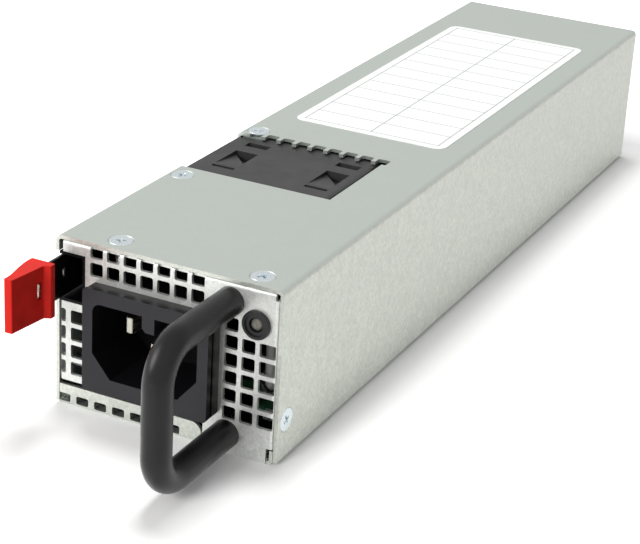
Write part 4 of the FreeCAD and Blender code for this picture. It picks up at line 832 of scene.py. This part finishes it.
def paleFloor():
    look = stageLook
    bm = bmesh.new()
    bmesh.ops.create_grid(bm, x_segments=2, y_segments=2, size=look["floorSize"] / 2)
    mesh = meshFrom(bm, "floor")
    floor = bpy.data.objects.new("floor", mesh)
    floor.location.z = cadBox[0].z - look["floorGap"]
    scene.collection.objects.link(floor)
    material, tree, shader = newFinish(
        "paleFloor", look["floorColour"], look["floorRoughness"], specular=0.0
    )
    seen = seenBy(tree, "Camera", "Glossy", "Transmission")
    tone = spread(tree, seen, look["bounce"], 1.0, 0, 1)
    tree.links.new(tinted(tree, look["floorColour"], tone), shader.inputs["Base Color"])
    across, along = (besideBox(tree, axis, i) for i, axis in enumerate("XY"))
    squares = total(tree, product(tree, across, across), product(tree, along, along))
    away = maths(tree, "POWER", squares, 0.5)
    # painted shade: the floor glows less near the part's box than away from it
    whiter = spread(tree, away, look["nearLift"], look["farLift"], look["nearEdge"], look["farEdge"])
    # painted reflection: a patch of floor ahead of the casing and to its left glows brighter for glossy
    # rays only
    ahead = spread(tree, alongAxis(tree, "Y"), 1.0, 0.0, *look["glossAhead"])
    leftward = spread(tree, alongAxis(tree, "X"), 1.0, 0.0, *look["glossLeft"])
    shine = total(tree, product(tree, ahead, leftward, look["paintedFrontGloss"]), look["glossLift"])
    gloss = product(tree, seenBy(tree, "Glossy", "Transmission"), shine)
    lift = total(tree, product(tree, seenBy(tree, "Camera"), whiter), gloss)
    light = addNode(tree, "Emission", {"Color": (1, 1, 1, 1), "Strength": lift})
    both = addNode(tree, "AddShader", {0: shader.outputs[0], 1: light.outputs[0]})
    tree.links.new(both.outputs[0], tree.nodes["Material Output"].inputs["Surface"])
    mesh.materials.append(material)


def directionOf(azimuth, elevation):
    around, up = math.radians(azimuth), math.radians(elevation)
    return (math.sin(around) * math.cos(up), -math.cos(around) * math.cos(up), math.sin(up))


def towards(tree, place, direction):
    # 1 straight along the direction and -1 straight away from it
    aim = addNode(tree, "VectorMath", {0: place, 1: direction}, operation="DOT_PRODUCT")
    return aim.outputs["Value"]


def whiteSurround():
    # white to the camera; the light itself comes mostly from the front
    look = stageLook
    world = bpy.data.worlds.new("surround")
    scene.world = world
    world.use_nodes = True
    tree = world.node_tree
    background = tree.nodes["Background"]
    background.inputs["Color"].default_value = (1, 1, 1, 1)
    place = addNode(tree, "TexCoord").outputs["Generated"]
    turn = math.radians(look["frontTurn"])
    facing = towards(tree, place, (-math.sin(turn), -math.cos(turn), look["frontRise"]))
    frontShare = maths(tree, "POWER", maths(tree, "MAXIMUM", facing, 0.0), look["frontFocus"])
    diffuse = total(tree, product(tree, frontShare, look["frontLight"]), look["surround"])
    aim = towards(tree, place, directionOf(*look["windowPlace"]))
    glow = product(tree, spread(tree, aim, 0.0, 1.0, look["windowEdge"], 1.0), look["windowGlow"])
    behind = spread(tree, facing, look["backShade"], 0.0, *look["backReach"])
    gloss = total(tree, maths(tree, "SUBTRACT", 1.0, behind), glow)
    seen = seenBy(tree, "Camera", "Transmission")
    glossy = seenBy(tree, "Glossy")
    plain = maths(tree, "MAXIMUM", seen, product(tree, glossy, gloss))
    rest = maths(tree, "SUBTRACT", 1.0, maths(tree, "MAXIMUM", seen, glossy))
    strength = total(tree, plain, product(tree, rest, diffuse))
    tree.links.new(strength, background.inputs["Strength"])


lampTable = [
    # name, azimuth, elevation, distance, size, power, colour
    ("overheadPanel", 215, 81, 1.1, 0.35, 6.5, (1.0, 1.0, 1.0)),
    ("frontPanel", -14, 24, 1.3, 0.5, 9.0, (1.0, 0.99, 0.97)),
]


def orbit(target, azimuth, elevation, distance, roll=0.0):
    # a place on a sphere round the target, looking at it; azimuth 0 is in front and 90 on the right
    around = Matrix.Rotation(math.radians(azimuth), 4, "Z")
    tilted = around @ Matrix.Rotation(math.radians(90 - elevation), 4, "X")
    rolled = tilted @ Matrix.Rotation(math.radians(roll), 4, "Z")
    return Matrix.Translation(target) @ rolled @ Matrix.Translation((0, 0, distance))


def studioLamps():
    middle = (cadBox[0] + cadBox[1]) / 2
    for name, azimuth, elevation, distance, size, power, colour in lampTable:
        lamp = bpy.data.lights.new(name, "AREA")
        lamp.shape = "DISK"
        lamp.size = size
        lamp.energy = power
        lamp.color = colour
        holder = bpy.data.objects.new(name, lamp)
        holder.matrix_world = orbit(middle, azimuth, elevation, distance)
        holder.visible_glossy = False  # reflections show the room, not the lamps
        scene.collection.objects.link(holder)


cameraLook = {
    "target": (9.0 * mm, -59.5 * mm, 20.0 * mm),
    "distance": 440.3 * mm,
    "azimuth": 25.22,
    "elevation": 23.39,
    "roll": 3.34,
    "lens": 106.8,
    "nearest": 0.01,
    "farthest": 20,
}


def setCamera():
    look = cameraLook
    data = bpy.data.cameras.new("camera")
    data.lens = look["lens"]
    data.clip_start = look["nearest"]
    data.clip_end = look["farthest"]
    camera = bpy.data.objects.new("camera", data)
    camera.matrix_world = orbit(
        look["target"], look["azimuth"], look["elevation"], look["distance"], look["roll"]
    )
    scene.collection.objects.link(camera)
    scene.camera = camera


paleFloor()
whiteSurround()
studioLamps()
setCamera()
scene.view_settings.view_transform = "Standard"
print("stage set")
